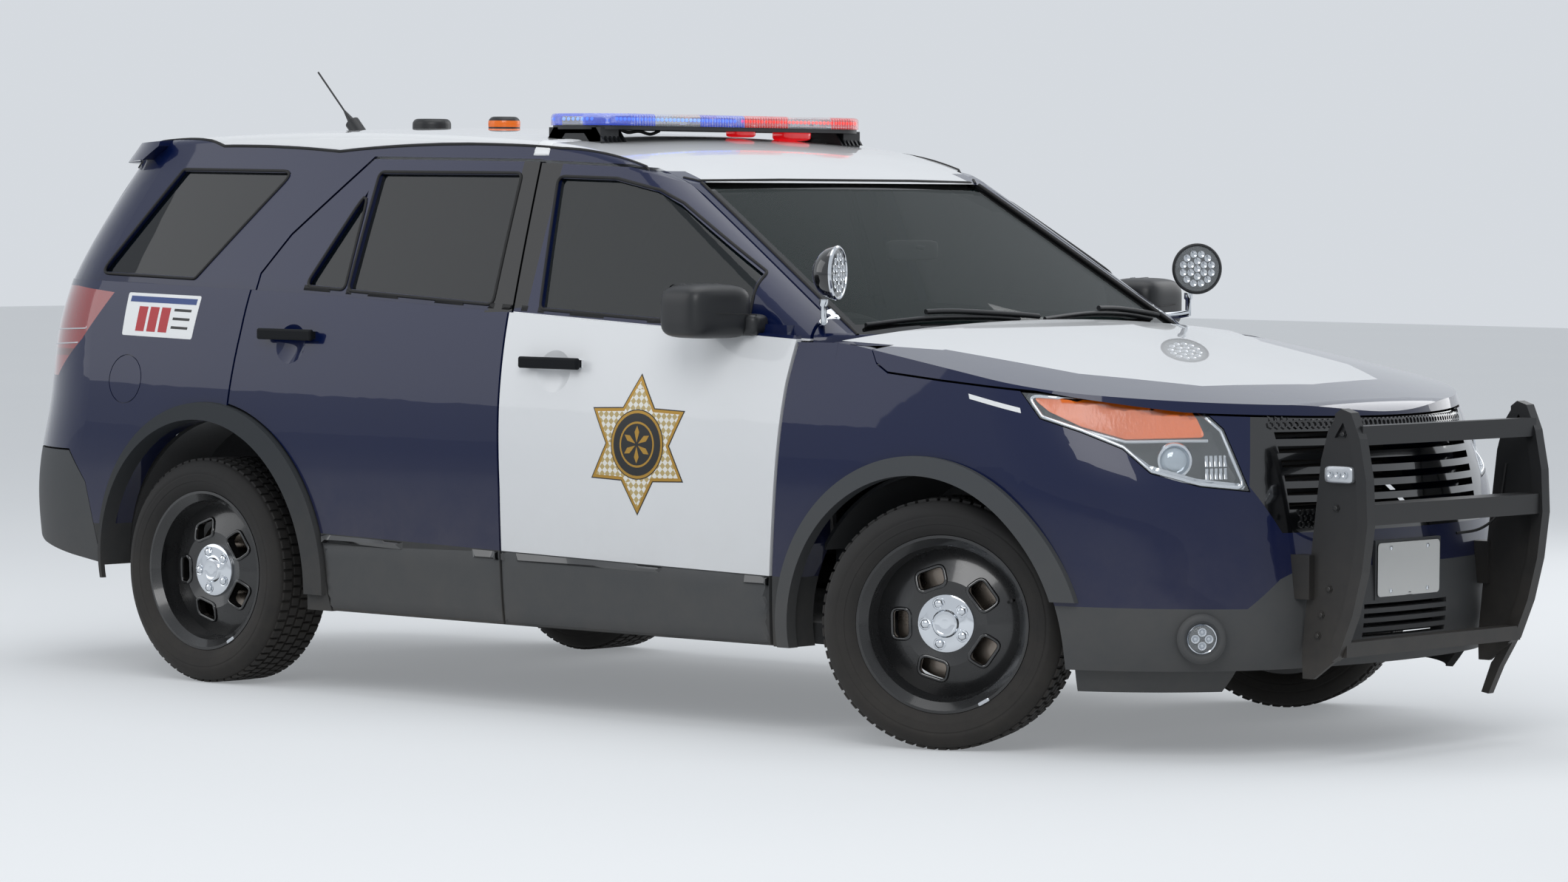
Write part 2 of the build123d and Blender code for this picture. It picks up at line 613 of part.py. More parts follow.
def make_wheel():
    """A steel rim with five windows, brake disc and centre cap; outer face toward -y."""
    with BuildPart() as rim:
        with BuildSketch(Plane.XY):
            with BuildLine():
                Polyline(*rim_outline, close=True)
            make_face()
        revolve(axis=Axis.Y)
        with BuildSketch(Plane.XZ):
            with PolarLocations(window_circle, windows, start_angle=window_turn):
                RectangleRounded(window_wide, window_long, window_round)
        extrude(amount=130, mode=Mode.SUBTRACT)
    with BuildPart() as hub:
        with BuildSketch(Plane.XZ.offset(-38)):
            Circle(disc_radius)
        extrude(amount=disc_thick)
        with BuildSketch(Plane.XZ.offset(-30)):
            Circle(cap_radius)
        extrude(amount=cap_out + 30)
        with BuildSketch(Plane.XZ.offset(cap_out - 2)):
            Circle(cap_boss)
        extrude(amount=14, taper=20)
        with BuildSketch(Plane.XZ.offset(cap_out - 4)):
            with PolarLocations(lug_circle, windows, start_angle=window_turn):
                Circle(lug_radius)
        extrude(amount=11, taper=15)
    return rim.part + hub.part


def make_tyre():
    """A tyre with rounded walls, drawn round the y axis."""
    with BuildPart() as tyre:
        with BuildSketch(Plane.XY):
            with BuildLine():
                wall, tread = (shoulder_radius, shoulder_half), (tyre_radius - 1.5, tread_half)
                ThreePointArc(bead_outline[-1], (wall_radius, -tyre_width / 2), (wall[0], -wall[1]))
                ThreePointArc((wall[0], -wall[1]), (342, -97), (tread[0], -tread[1]))
                ThreePointArc((tread[0], -tread[1]), (tyre_radius, 0), tread)
                ThreePointArc(tread, (342, 97), wall)
                ThreePointArc(wall, (wall_radius, tyre_width / 2), bead_outline[0])
                Polyline(*bead_outline)
            make_face()
        revolve(axis=Axis.Y)
    return tyre.part


def corner_place(piece, side, steered):
    """Puts a right wheel piece at a front or rear corner: side is -1 right, 1 left."""
    station = 0 if steered else rear_station
    placed = piece if side < 0 else piece.mirror(Plane.XZ)
    placed = placed.translate((st(station), side * wheel_plane, hub_height))
    if steered:
        placed = placed.rotate(Axis((st(0), side * kingpin_offset, 0), (0, 0, 1)), rest_steer)
    return placed


wheel_piece = make_wheel()
tyre_piece = make_tyre()
for side, hand in ((-1, "right"), (1, "left")):
    for steered, end in ((True, "front"), (False, "rear")):
        save(corner_place(wheel_piece, side, steered), f"wheel_{end}_{hand}")
        save(corner_place(tyre_piece, side, steered), f"tyre_{end}_{hand}")

# Steering knuckle: hub carrier, post and brake caliper, drawn at the right front corner.
with BuildPart() as knuckle:
    with BuildSketch(Plane.XZ.offset(-140)):
        Circle(56)
    extrude(amount=101.7)
    with Locations((0, 140, 47)):
        Box(64, 40, 250)
    with Locations((181, 48, 0)):
        Box(28, 56, 90)
    with Locations((138, 62, 0)):
        Box(86, 28, 90)
    with Locations((95, 90, 0)):
        Box(120, 40, 60)
save(corner_place(knuckle.part, -1, True), "knuckle_right")
save(corner_place(knuckle.part, 1, True), "knuckle_left")

# Push bumper: two edged uprights, three cross pieces and brackets.
upright_view = ((1030, 945), (1050, 960), (1082, 950), (1112, 880), (1134, 770), (1140, 650), (1124, 520), (1094, 400),
                (1050, 290), (960, 222), (925, 222), (922, 290), (940, 480), (962, 680), (978, 820), (1000, 900))
push_bumper = None
upright_half, upright_thick = 436, 14
push_bars = ((1070, 1106, 862, 914), (1050, 1130, 646, 702), (1014, 1062, 286, 326))
for y0 in (upright_half - upright_thick, -upright_half):
    plate = side_prism(upright_view, near=-y0 - upright_thick, far=-y0)
    band = side_prism(upright_view, near=-y0 - 26, far=-y0 + 12)
    band -= side_prism(upright_view, near=-y0 - 40, far=-y0 + 40, grow=-34) + box(800, 1030, -600, 600, 100, 1000)
    plate += band
    push_bumper = plate if push_bumper is None else push_bumper + plate
for x0, x1, z0, z1 in push_bars:
    push_bumper += box(x0, x1, 11 - upright_half, upright_half - 11, z0, z1)
push_bumper += side_prism(((1000, 262), (962, 215), (930, 130), (954, 126), (990, 205), (1040, 290)), near=-456, far=-430)
push_bumper += box(880, 960, -460, -410, 440, 560) + box(880, 960, 410, 460, 440, 560)
push_bumper -= lower(-0.3)
save(push_bumper, "push_bumper")

# Roof light bar, its lens strip, spotlights, aerial and domes.
bar_x = roof_bar[0]
bar_length, bar_width, bar_corner = 1220, 300, 110
bar_low, bar_base_tall, bar_lens_tall, bar_edge = 1714, 12, 36, 11
foot_half, foot_near, foot_far = 105, 520, 600
with BuildPart() as bar_base:
    with BuildSketch(Plane.XY.offset(bar_low)):
        with Locations((st(bar_x), 0)):
            RectangleRounded(bar_width - 12, bar_length - 12, bar_corner - 6)
    extrude(amount=bar_base_tall)
feet = box(bar_x - foot_half, bar_x + foot_half, -foot_far, -foot_near, 1600, bar_low + 6)
feet += box(bar_x - foot_half, bar_x + foot_half, foot_near, foot_far, 1600, bar_low + 6)
save(bar_base.part + (feet - upper(-0.2)), "light_bar_base")
with BuildPart() as bar_lens:
    with BuildSketch(Plane.XY.offset(bar_low + bar_base_tall)):
        with Locations((st(bar_x), 0)):
            RectangleRounded(bar_width, bar_length, bar_corner)
    extrude(amount=bar_lens_tall)
    fillet(bar_lens.faces().sort_by(Axis.Z)[-1].edges(), radius=bar_edge)
save(bar_lens.part, "light_bar_lens")
spot_place = (-384, -867, 1306)
spot_radius, spot_rim, spot_bowl, spot_taper = 76, 30, 60, 32
with BuildPart() as spot:
    with BuildSketch(Plane.YZ):
        Circle(spot_radius)
    extrude(amount=-spot_rim)
    with BuildSketch(Plane.YZ.offset(-spot_rim)):
        Circle(spot_radius)
    extrude(amount=-spot_bowl, taper=spot_taper)
    with Locations((-45, 0, -95)):
        Cylinder(9, 90)
    with Locations((-45, 25, -140)):
        Box(22, 68, 22)
    with Locations((-110, 48, -140)):
        Box(150, 22, 22)
spot_right = spot.part.translate((st(spot_place[0]), spot_place[1], spot_place[2]))
save(spot_right - upper(-0.3) - lower(-0.3, 0), "spotlight_right", "spotlight_left")
mast_station, mast_radius, mast_long, mast_tilt = -3149, 3, 184, -44
domes = ((-2819, 62, 34), (dome_station, 50, 40))
with BuildPart() as aerial:
    with Locations((0, 0, 16)):
        Cylinder(24, 60)
    with Locations((0, 0, 40)):
        Cone(14, mast_radius, 60, align=(Align.CENTER, Align.CENTER, Align.MIN))
    with Locations((0, 0, 90)):
        Cylinder(mast_radius, mast_long, align=(Align.CENTER, Align.CENTER, Align.MIN))
aerial_piece = aerial.part.rotate(Axis.Y, mast_tilt).translate((st(mast_station), 0, 1712))
roof_pieces = aerial_piece
for station, radius, height in domes:
    with BuildPart() as dome:
        Cylinder(radius, height + 30, align=(Align.CENTER, Align.CENTER, Align.MIN))
        fillet(dome.faces().sort_by(Axis.Z)[-1].edges(), radius=18)
    roof_pieces += dome.part.translate((st(station), 0, 1692))
save(roof_pieces - upper(-0.2), "roof_aerials")

# Door mirrors.
mirror_view = ((-815, -925), (-822, -1120), (-770, -1150), (-690, -1135), (-622, -1060), (-600, -925))
mirror_low, mirror_tall, mirror_corner, mirror_top_edge, mirror_low_edge = 1120, 150, 24, 22, 18
with BuildPart() as mirror_head:
    with BuildSketch(Plane.XY.offset(mirror_low)) as mirror_plan:
        with BuildLine():
            Polyline(*((st(x), y) for x, y in mirror_view), close=True)
        make_face()
        fillet(mirror_plan.vertices(), radius=mirror_corner)
    extrude(amount=mirror_tall, taper=4)
    fillet(mirror_head.faces().sort_by(Axis.Z)[-1].edges(), radius=mirror_top_edge)
    fillet(mirror_head.faces().sort_by(Axis.Z)[0].edges(), radius=mirror_low_edge)
    with Locations((st(-660), -930, 1146)):
        Box(110, 90, 50)
save(mirror_head.part - lower(-0.3, 0) - upper(-0.3) - door_fr, "mirror_right", "mirror_left")
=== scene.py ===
import math

import bmesh
import bpy
import numpy as np
from bpy.props import FloatProperty, FloatVectorProperty, IntProperty, PointerProperty
from mathutils import Matrix, Vector
from mathutils.bvhtree import BVHTree
from mathutils.geometry import delaunay_2d_cdt


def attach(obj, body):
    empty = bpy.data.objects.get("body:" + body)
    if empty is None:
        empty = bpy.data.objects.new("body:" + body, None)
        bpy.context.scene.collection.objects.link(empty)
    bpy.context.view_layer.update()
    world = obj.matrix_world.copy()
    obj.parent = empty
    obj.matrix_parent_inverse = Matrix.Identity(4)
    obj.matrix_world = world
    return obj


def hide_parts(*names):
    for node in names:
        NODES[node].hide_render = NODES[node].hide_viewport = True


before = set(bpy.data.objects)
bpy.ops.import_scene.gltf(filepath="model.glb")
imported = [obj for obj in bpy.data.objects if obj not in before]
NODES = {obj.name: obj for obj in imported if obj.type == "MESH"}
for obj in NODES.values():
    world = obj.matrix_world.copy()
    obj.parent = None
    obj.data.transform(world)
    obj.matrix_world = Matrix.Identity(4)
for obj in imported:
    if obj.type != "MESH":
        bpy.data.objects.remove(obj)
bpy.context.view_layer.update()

bl_info = {
    "name": "Patrol SUV finishes",
    "version": (1, 0, 0),
    "blender": (4, 5, 0),
    "location": "View3D > Sidebar > Patrol SUV",
    "description": "Finishes, trim, lamps, tyres and seats for the patrol SUV",
    "category": "Object",
}

MM = 0.001

# The source's own sizes, in metres and degrees
AXLE_X = 1.4413
WHEELBASE = 2.860
TRACK_HALF = 0.851
HUB_Z = 0.348
KINGPIN_Y = 0.780
REST_STEER = 24.0
DISC_FACE = -0.0235
DISC_RADIUS = 0.166
WHEEL_WINDOW_RADIUS = 130
WHEEL_FIRST_ANGLE = 110
LIGHT_BAR_X = AXLE_X - 1.634

# The photograph's camera: its width and focal length in pixels, its turns in degrees and its place in metres
PHOTO_WIDTH = 2121
PHOTO_FOCAL = 7414.51
PHOTO_TURNS = (40.764, -2.674, 0.403)
PHOTO_PLACE = (AXLE_X + 9.54939, -12.60502, 1.55186)
SENSOR_WIDTH = 36

# Colours beside those of the panel
ROAD_DUST = "#8a8073"
PILLAR_FILM = "#0a0b0d"
CABIN_TRIM = "#26272a"
ROOF_LINING = "#8d8c86"
PRIMER_GREY = "#1b1e22"
PRINTED_EDGE = "#08090a"

# How wide a wave texture's bands are at a scale of 1, in metres
WAVE_BAND = 0.314

FACING_AHEAD = Matrix.Rotation(math.pi / 2, 4, "Z") @ Matrix.Rotation(math.pi / 2, 4, "X")
FACING_BACK = Matrix(((0, 0, -1, 0), (-1, 0, 0, 0), (0, 1, 0, 0), (0, 0, 0, 1)))
ON_THE_TREAD = Matrix(((0, 0, 1, 0), (1, 0, 0, 0), (0, 1, 0, 0), (0, 0, 0, 1)))

MATH = "ShaderNodeMath"


def station(mm):
    """x in metres of a place that many millimetres ahead of the front axle."""
    return AXLE_X + mm * MM


def linear(hex_colour):
    """An sRGB hex colour as linear red, green, blue and alpha."""
    values = [int(hex_colour[i:i + 2], 16) / 255 for i in (1, 3, 5)]
    return [v / 12.92 if v <= 0.04045 else ((v + 0.055) / 1.055) ** 2.4 for v in values] + [1.0]


def add(tree, kind, sockets=None, **settings):
    """Adds a node, sets it up, and fills its sockets with values or other nodes' outputs."""
    node = tree.nodes.new(kind)
    for key, value in settings.items():
        setattr(node, key, value)
    for key, value in (sockets or {}).items():
        socket = node.inputs[key]
        if isinstance(value, bpy.types.Node):
            value = value.outputs[0]
        if isinstance(value, bpy.types.NodeSocket):
            tree.links.new(value, socket)
        else:
            socket.default_value = value
    return node


# ---- masks: each gives 1 on the part of a surface that it names, from the object's own coordinates


def within(points, plan=False):
    """Inside a convex anticlockwise outline of station and height, or of station and width when plan."""

    def mask(tree, x, y, z):
        up = add(tree, MATH, {0: y}, operation="ABSOLUTE").outputs[0] if plan else z
        nearest = None
        for (x0, u0), (x1, u1) in zip(points, points[1:] + points[:1]):
            long = math.hypot(x1 - x0, u1 - u0)
            a, b = (u0 - u1) / long, (x1 - x0) / long
            part = add(tree, MATH, {0: x, 1: a, 2: -a * station(x0) - b * u0 * MM}, operation="MULTIPLY_ADD")
            part = add(tree, MATH, {0: up, 1: b, 2: part}, operation="MULTIPLY_ADD")
            nearest = add(tree, MATH, {0: nearest, 1: part}, operation="MINIMUM") if nearest else part
        return add(tree, MATH, {0: nearest, 1: 0.0}, operation="GREATER_THAN").outputs[0]

    return mask


def in_circle(middle, radius):
    """Inside a circle seen from the side: station and height of its middle, and its radius."""

    def mask(tree, x, y, z):
        place = add(tree, "ShaderNodeCombineXYZ", {0: x, 2: z})
        away = add(tree, "ShaderNodeVectorMath", {0: place, 1: (station(middle[0]), 0, middle[1] * MM)},
                   operation="DISTANCE")
        return add(tree, MATH, {0: away.outputs["Value"], 1: radius * MM}, operation="LESS_THAN").outputs[0]

    return mask


def wider(limit):
    """Further from the middle of the car than the limit."""

    def mask(tree, x, y, z):
        away = add(tree, MATH, {0: y}, operation="ABSOLUTE")
        return add(tree, MATH, {0: away, 1: limit * MM}, operation="GREATER_THAN").outputs[0]

    return mask


def higher(limit):
    """Higher over the ground than the limit."""

    def mask(tree, x, y, z):
        return add(tree, MATH, {0: z, 1: limit * MM}, operation="GREATER_THAN").outputs[0]

    return mask


def facing_down(limit=-0.35):
    """Where the surface looks down, such as a roof's lining or a hood's underside."""

    def mask(tree, x, y, z):
        normal = add(tree, "ShaderNodeNewGeometry").outputs["True Normal"]
        up = add(tree, "ShaderNodeSeparateXYZ", {0: normal}).outputs[2]
        return add(tree, MATH, {0: up, 1: limit}, operation="LESS_THAN").outputs[0]

    return mask


def outside(mask):
    """Everywhere that the mask isn't."""
    return lambda tree, x, y, z: add(tree, MATH, {0: 1.0, 1: mask(tree, x, y, z)}, operation="SUBTRACT").outputs[0]


def combined(operation, masks):
    """One mask from several."""

    def mask(tree, x, y, z):
        made = [m(tree, x, y, z) for m in masks]
        while len(made) > 1:
            made.append(add(tree, MATH, {0: made.pop(0), 1: made.pop(0)}, operation=operation).outputs[0])
        return made[0]

    return mask


def both(*masks):
    """Only where every mask is."""
    return combined("MULTIPLY", masks)


def either(*masks):
    """Where any of the masks is."""
    return combined("MAXIMUM", masks)


def cabin_side(tree, x, y, z):
    """The faces of a door or body side that look towards the middle of the car, which are trim and not paint."""
    normal = add(tree, "ShaderNodeNewGeometry").outputs["True Normal"]
    across = add(tree, "ShaderNodeSeparateXYZ", {0: normal}).outputs[1]
    side = add(tree, MATH, {0: y}, operation="SIGN")
    outward = add(tree, MATH, {0: across, 1: side}, operation="MULTIPLY")
    return add(tree, MATH, {0: outward, 1: -0.25}, operation="LESS_THAN").outputs[0]


# ---- materials


def new_material(name):
    """An empty node material, its tree, its output, and the object coordinates with their parts."""
    material = bpy.data.materials.new(name)
    material.use_nodes = True
    tree = material.node_tree
    tree.nodes.clear()
    out = tree.nodes.new("ShaderNodeOutputMaterial")
    coords = add(tree, "ShaderNodeTexCoord").outputs["Object"]
    return material, tree, out, coords, add(tree, "ShaderNodeSeparateXYZ", {0: coords}).outputs


def finish(name, colour, roughness, zones=(), grain=None, wave=None, drift=0.05, dust=0.0, streak=None, **fixed):
    """A surface with tone that drifts, fine grain, road dust and zones of other finish.

    zones are (mask, colour, roughness, coat). grain and wave are a size and a height in millimetres, and streak a
    size, a scale along x, y and z, and a height. fixed are the shader's own sockets, by name with _ for a space.
    """
    material, tree, out, coords, (x, y, z) = new_material(name)
    base = linear(colour) if isinstance(colour, str) else list(colour)
    cloud = add(tree, "ShaderNodeTexNoise", {"Vector": coords, "Scale": 3.0, "Detail": 4.0, "Roughness": 0.6})
    dark = [v * (1 - drift) for v in base[:3]] + [1.0]
    light = [min(v * (1 + drift) + drift * 0.01, 1.0) for v in base[:3]] + [1.0]
    tone = add(tree, "ShaderNodeMix", {0: cloud, 6: dark, 7: light}, data_type="RGBA").outputs[2]
    rough = add(tree, "ShaderNodeMapRange", {0: cloud, 3: roughness * 0.88, 4: min(roughness * 1.12, 1.0)}).outputs[0]
    coat = fixed.pop("Coat_Weight", 0.0)
    for mask, zone_colour, zone_rough, zone_coat in zones:
        inside = mask(tree, x, y, z)
        zone_base = linear(zone_colour) if isinstance(zone_colour, str) else list(zone_colour)
        tone = add(tree, "ShaderNodeMix", {0: inside, 6: tone, 7: zone_base}, data_type="RGBA").outputs[2]
        rough = add(tree, "ShaderNodeMix", {0: inside, 2: rough, 3: zone_rough}).outputs[0]
        if zone_coat != coat or not isinstance(coat, float):
            coat = add(tree, "ShaderNodeMix", {0: inside, 2: coat, 3: zone_coat}).outputs[0]
    if dust:
        low = add(tree, "ShaderNodeMapRange", {0: z, 1: 0.75, 2: 0.2, 3: 0.0, 4: dust})
        speck = add(tree, "ShaderNodeTexNoise", {"Vector": coords, "Scale": 9.0, "Detail": 8.0, "Roughness": 0.7})
        film = add(tree, MATH, {0: low, 1: speck}, operation="MULTIPLY")
        tone = add(tree, "ShaderNodeMix", {0: film, 6: tone, 7: linear(ROAD_DUST)}, data_type="RGBA").outputs[2]
        rough = add(tree, "ShaderNodeMix", {0: film, 2: rough, 3: 0.85}).outputs[0]
    sockets = {"Base Color": tone, "Roughness": rough, "Coat Weight": coat}
    lumps = [(coords, *pattern, 2.0) for pattern in (grain, wave) if pattern]
    if streak:
        size, stretch, tall = streak
        lumps.append((add(tree, "ShaderNodeMapping", {"Vector": coords, "Scale": stretch}), size, tall, 3.0))
    height = None
    for vector, size, tall, detail in lumps:
        lump = add(tree, "ShaderNodeTexNoise", {"Vector": vector, "Scale": 1 / (size * MM), "Detail": detail})
        bump = {"Height": lump, "Strength": 1.0, "Distance": tall * MM}
        if height:
            bump["Normal"] = height
        height = add(tree, "ShaderNodeBump", bump)
    if height:
        sockets["Normal"] = height
    for key, value in fixed.items():
        sockets[key.replace("_", " ")] = value
    shader = add(tree, "ShaderNodeBsdfPrincipled", sockets)
    tree.links.new(shader.outputs[0], out.inputs[0])
    return material


def glazing(name, colour, alpha, border=None):
    """Tinted safety glass: see-through by alpha, with a black printed border where a mask says."""
    material, tree, out, coords, (x, y, z) = new_material(name)
    cloud = add(tree, "ShaderNodeTexNoise", {"Vector": coords, "Scale": 14.0, "Detail": 5.0})
    haze = add(tree, "ShaderNodeMapRange", {0: cloud, 1: 0.35, 2: 0.8, 3: 0.0, 4: 0.03})
    clear = add(tree, "ShaderNodeMapRange", {0: cloud, 3: alpha - 0.01, 4: alpha + 0.01}).outputs[0]
    tone = add(tree, "ShaderNodeMix", {0: cloud, 6: linear(colour), 7: [v * 1.1 for v in linear(colour)[:3]] + [1.0]},
               data_type="RGBA").outputs[2]
    if border:
        edge = border(tree, x, y, z)
        clear = add(tree, "ShaderNodeMix", {0: edge, 2: clear, 3: 1.0}).outputs[0]
        tone = add(tree, "ShaderNodeMix", {0: edge, 6: tone, 7: linear(PRINTED_EDGE)}, data_type="RGBA").outputs[2]
    shader = add(tree, "ShaderNodeBsdfPrincipled", {"Base Color": tone, "Roughness": haze, "Alpha": clear, "IOR": 1.45})
    tree.links.new(shader.outputs[0], out.inputs[0])
    return material


# ---- meshes


def add_piece(name, verts, faces, material, body, pair=False, angle=35, stands_for=()):
    """A finished mesh piece that rides on a body, and its mirror image on the other side when pair."""
    mesh = bpy.data.meshes.new(name)
    mesh.from_pydata([tuple(v) for v in verts], [], faces)
    work = bmesh.new()
    work.from_mesh(mesh)
    bmesh.ops.remove_doubles(work, verts=work.verts, dist=1e-6)
    bmesh.ops.dissolve_degenerate(work, edges=work.edges, dist=1e-7)
    bmesh.ops.recalc_face_normals(work, faces=work.faces)
    work.to_mesh(mesh)
    work.free()
    made = [mesh_object(name, mesh, material, body, angle, stands_for)]
    if pair:
        other = mesh.copy()
        other.name = name.replace("right", "left")
        other.transform(Matrix.Scale(-1, 4, (0, 1, 0)))
        other.flip_normals()
        left = [n.replace("right", "left") for n in stands_for]
        made.append(mesh_object(other.name, other, material, body.replace("right", "left"), angle, left))
    return made


def mesh_object(name, mesh, material, body, angle=35, stands_for=()):
    """An object for a mesh whose place is in its points."""
    obj = bpy.data.objects.new(name, mesh)
    bpy.context.scene.collection.objects.link(obj)
    mesh.materials.clear()
    mesh.materials.append(material)
    mesh.polygons.foreach_set("use_smooth", [True] * len(mesh.polygons))
    mesh.set_sharp_from_angle(angle=math.radians(angle))
    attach(obj, body)
    for node in stands_for:
        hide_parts(node)
    return obj


def gather(*parts):
    """Several lists of points and faces as one."""
    verts, faces = [], []
    for some_verts, some_faces in parts:
        faces += [[i + len(verts) for i in face] for face in some_faces]
        verts += [Vector(v) for v in some_verts]
    return verts, faces


def moved(part, matrix):
    """Points and faces with the points put through a matrix."""
    return [matrix @ Vector(v) for v in part[0]], part[1]


def shift(x, y, z):
    """A move in metres."""
    return Matrix.Translation((x, y, z))


def place_at(x, y, z):
    """A move to millimetres ahead of the front axle, and metres across and up."""
    return shift(station(x), y, z)


def turn_about(axis, degrees):
    """A turn about an axis through the origin."""
    return Matrix.Rotation(math.radians(degrees), 4, axis)


def lathe(profile, sides=48):
    """A shape turned about z from (radius, height) pairs in mm; an end on the axis closes there."""
    verts, faces, rings = [], [], []
    for radius, height in profile:
        if radius < 1e-6:
            rings.append([len(verts)])
            verts.append(Vector((0, 0, height * MM)))
        else:
            rings.append(list(range(len(verts), len(verts) + sides)))
            verts += [Vector((radius * MM * math.cos(t), radius * MM * math.sin(t), height * MM))
                      for t in (2 * math.pi * k / sides for k in range(sides))]
    for lower, upper in zip(rings, rings[1:]):
        for k in range(sides):
            face = [lower[k % len(lower)], lower[(k + 1) % len(lower)], upper[(k + 1) % len(upper)],
                    upper[k % len(upper)]]
            face = list(dict.fromkeys(face))
            if len(face) > 2:
                faces.append(face)
    return verts, faces


def block(size, bevel=0.0, top=1.0):
    """A box of a size in mm about the origin, its upper edges drawn in by the bevel and its top by a share."""
    (a, b, c) = (v / 2 * MM for v in size)
    shoulder = [(1.0, c - bevel * MM, 0.0)] if bevel else []
    levels = [(1.0, -c, 0.0)] + shoulder + [(top, c, bevel * MM)]
    verts, faces = [], []
    for share, z, cut in levels:
        long, wide = a * share - cut, b * share - cut
        verts += [Vector((i * long, j * wide, z)) for i, j in ((-1, -1), (1, -1), (1, 1), (-1, 1))]
    for level in range(len(levels) - 1):
        s = level * 4
        faces += [[s + k, s + (k + 1) % 4, s + 4 + (k + 1) % 4, s + 4 + k] for k in range(4)]
    e = len(verts) - 4
    return verts, faces + [[3, 2, 1, 0], [e, e + 1, e + 2, e + 3]]


def rounded_box(size, corner=0.3, crown=0.0, cells=10):
    """A soft box in mm: its sides bulge between rounded corners, more on top by the crown."""
    work = bmesh.new()
    bmesh.ops.create_cube(work, size=2.0)
    bmesh.ops.subdivide_edges(work, edges=work.edges, cuts=cells, use_grid_fill=True)
    verts = []
    power = 2.0 / max(corner, 0.05)
    for v in work.verts:
        p = [max(-1.0, min(1.0, c)) for c in v.co]
        long = sum(abs(c) ** power for c in p) ** (1 / power)
        share = max(abs(c) for c in p) / long
        q = [c * share for c in p]
        lift = crown * (1 - q[0] ** 2) * (1 - q[1] ** 2) * (1 if q[2] > 0 else 0)
        verts.append(Vector((q[0] * size[0] / 2, q[1] * size[1] / 2, q[2] * size[2] / 2 + lift)) * MM)
    faces = [[v.index for v in f.verts] for f in work.faces]
    work.free()
    return verts, faces


def rounded(loop, radius, parts=5):
    """An outline with each corner turned into an arc."""
    made = []
    for before, corner, after in zip(loop[-1:] + loop[:-1], loop, loop[1:] + loop[:1]):
        corner, a, b = Vector(corner), Vector(before), Vector(after)
        u, v = (a - corner), (b - corner)
        turn = u.angle(v)
        reach = min(radius / math.tan(turn / 2), u.length * 0.45, v.length * 0.45)
        start, end = corner + u.normalized() * reach, corner + v.normalized() * reach
        for k in range(parts + 1):
            t = k / parts
            made.append(tuple(start * (1 - t) ** 2 + corner * 2 * t * (1 - t) + end * t * t))
    return made


def grown(loop, amount):
    """An outline moved outwards by the amount, or inwards when it is negative."""
    area = sum(a[0] * b[1] - b[0] * a[1] for a, b in zip(loop, loop[1:] + loop[:1]))
    sign = 1 if area > 0 else -1
    made = []
    for before, corner, after in zip(loop[-1:] + loop[:-1], loop, loop[1:] + loop[:1]):
        u = (Vector(corner) - Vector(before)).normalized()
        v = (Vector(after) - Vector(corner)).normalized()
        n1, n2 = Vector((u.y, -u.x)) * sign, Vector((v.y, -v.x)) * sign
        mean = n1 + n2
        mean = mean.normalized() if mean.length > 1e-6 else n1
        made.append(tuple(Vector(corner) + mean * amount / max(mean.dot(n1), 0.35)))
    return made


def ribbon(path, width):
    """The outline of a band of some width along a path."""
    one, two = [], []
    for k, point in enumerate(path):
        ahead = Vector(path[min(k + 1, len(path) - 1)]) - Vector(path[max(k - 1, 0)])
        side = Vector((-ahead.y, ahead.x)).normalized() * width / 2
        one.append(tuple(Vector(point) + side))
        two.append(tuple(Vector(point) - side))
    return one + two[::-1]


def disc(middle, radius, sides=40):
    """A circle's outline."""
    turns = [2 * math.pi * k / sides for k in range(sides)]
    return [(middle[0] + radius * math.cos(t), middle[1] + radius * math.sin(t)) for t in turns]


def star(middle, radius, waist, points=6, turn=90):
    """A star's outline: its tips at the radius and its waists at a share of it."""
    made = []
    for k in range(2 * points):
        r = radius * (1 if k % 2 == 0 else waist)
        t = math.radians(turn + 180 * k / points)
        made.append((middle[0] + r * math.cos(t), middle[1] + r * math.sin(t)))
    return made


def hexagon(outer, inner, tall):
    """One open cell of a honeycomb, in mm."""
    verts, faces = [], []
    for radius, z in ((outer, 0), (outer, tall), (inner, tall), (inner, 0)):
        verts += [Vector((radius * math.cos(t), radius * math.sin(t), z)) * MM
                  for t in (math.radians(30 + 60 * k) for k in range(6))]
    for ring in range(4):
        for k in range(6):
            a, b = ring * 6, (ring + 1) % 4 * 6
            faces.append([a + k, a + (k + 1) % 6, b + (k + 1) % 6, b + k])
    return verts, faces


def smooth_path(places, parts=6):
    """A rounded line through places, by Catmull-Rom."""
    made = []
    for k in range(len(places) - 1):
        p0, p1 = places[max(k - 1, 0)], places[k]
        p2, p3 = places[k + 1], places[min(k + 2, len(places) - 1)]
        for j in range(parts):
            t = j / parts
            made.append(0.5 * (2 * p1 + (p2 - p0) * t + (2 * p0 - 5 * p1 + 4 * p2 - p3) * t * t
                               + (3 * p1 - p0 - 3 * p2 + p3) * t * t * t))
    return made + [places[-1]]


# ---- lines of sight: where a point of a flat view starts, and which way it looks


def from_right(u, v):
    """Station and height, seen from the car's right."""
    return Vector((station(u), -2.0, v * MM)), Vector((0, 1, 0))


def from_front(u, v):
    """Width and height, seen from ahead."""
    return Vector((4.5, u * MM, v * MM)), Vector((-1, 0, 0))


def from_behind(u, v):
    """Width and height, seen from behind."""
    return Vector((-4.5, u * MM, v * MM)), Vector((1, 0, 0))


def from_above(u, v):
    """Station and width, seen from above."""
    return Vector((station(u), v * MM, 3.0)), Vector((0, 0, -1))


CORNER_OUT = Vector((math.sqrt(0.5), -math.sqrt(0.5), 0))
CORNER_REACH = 1400


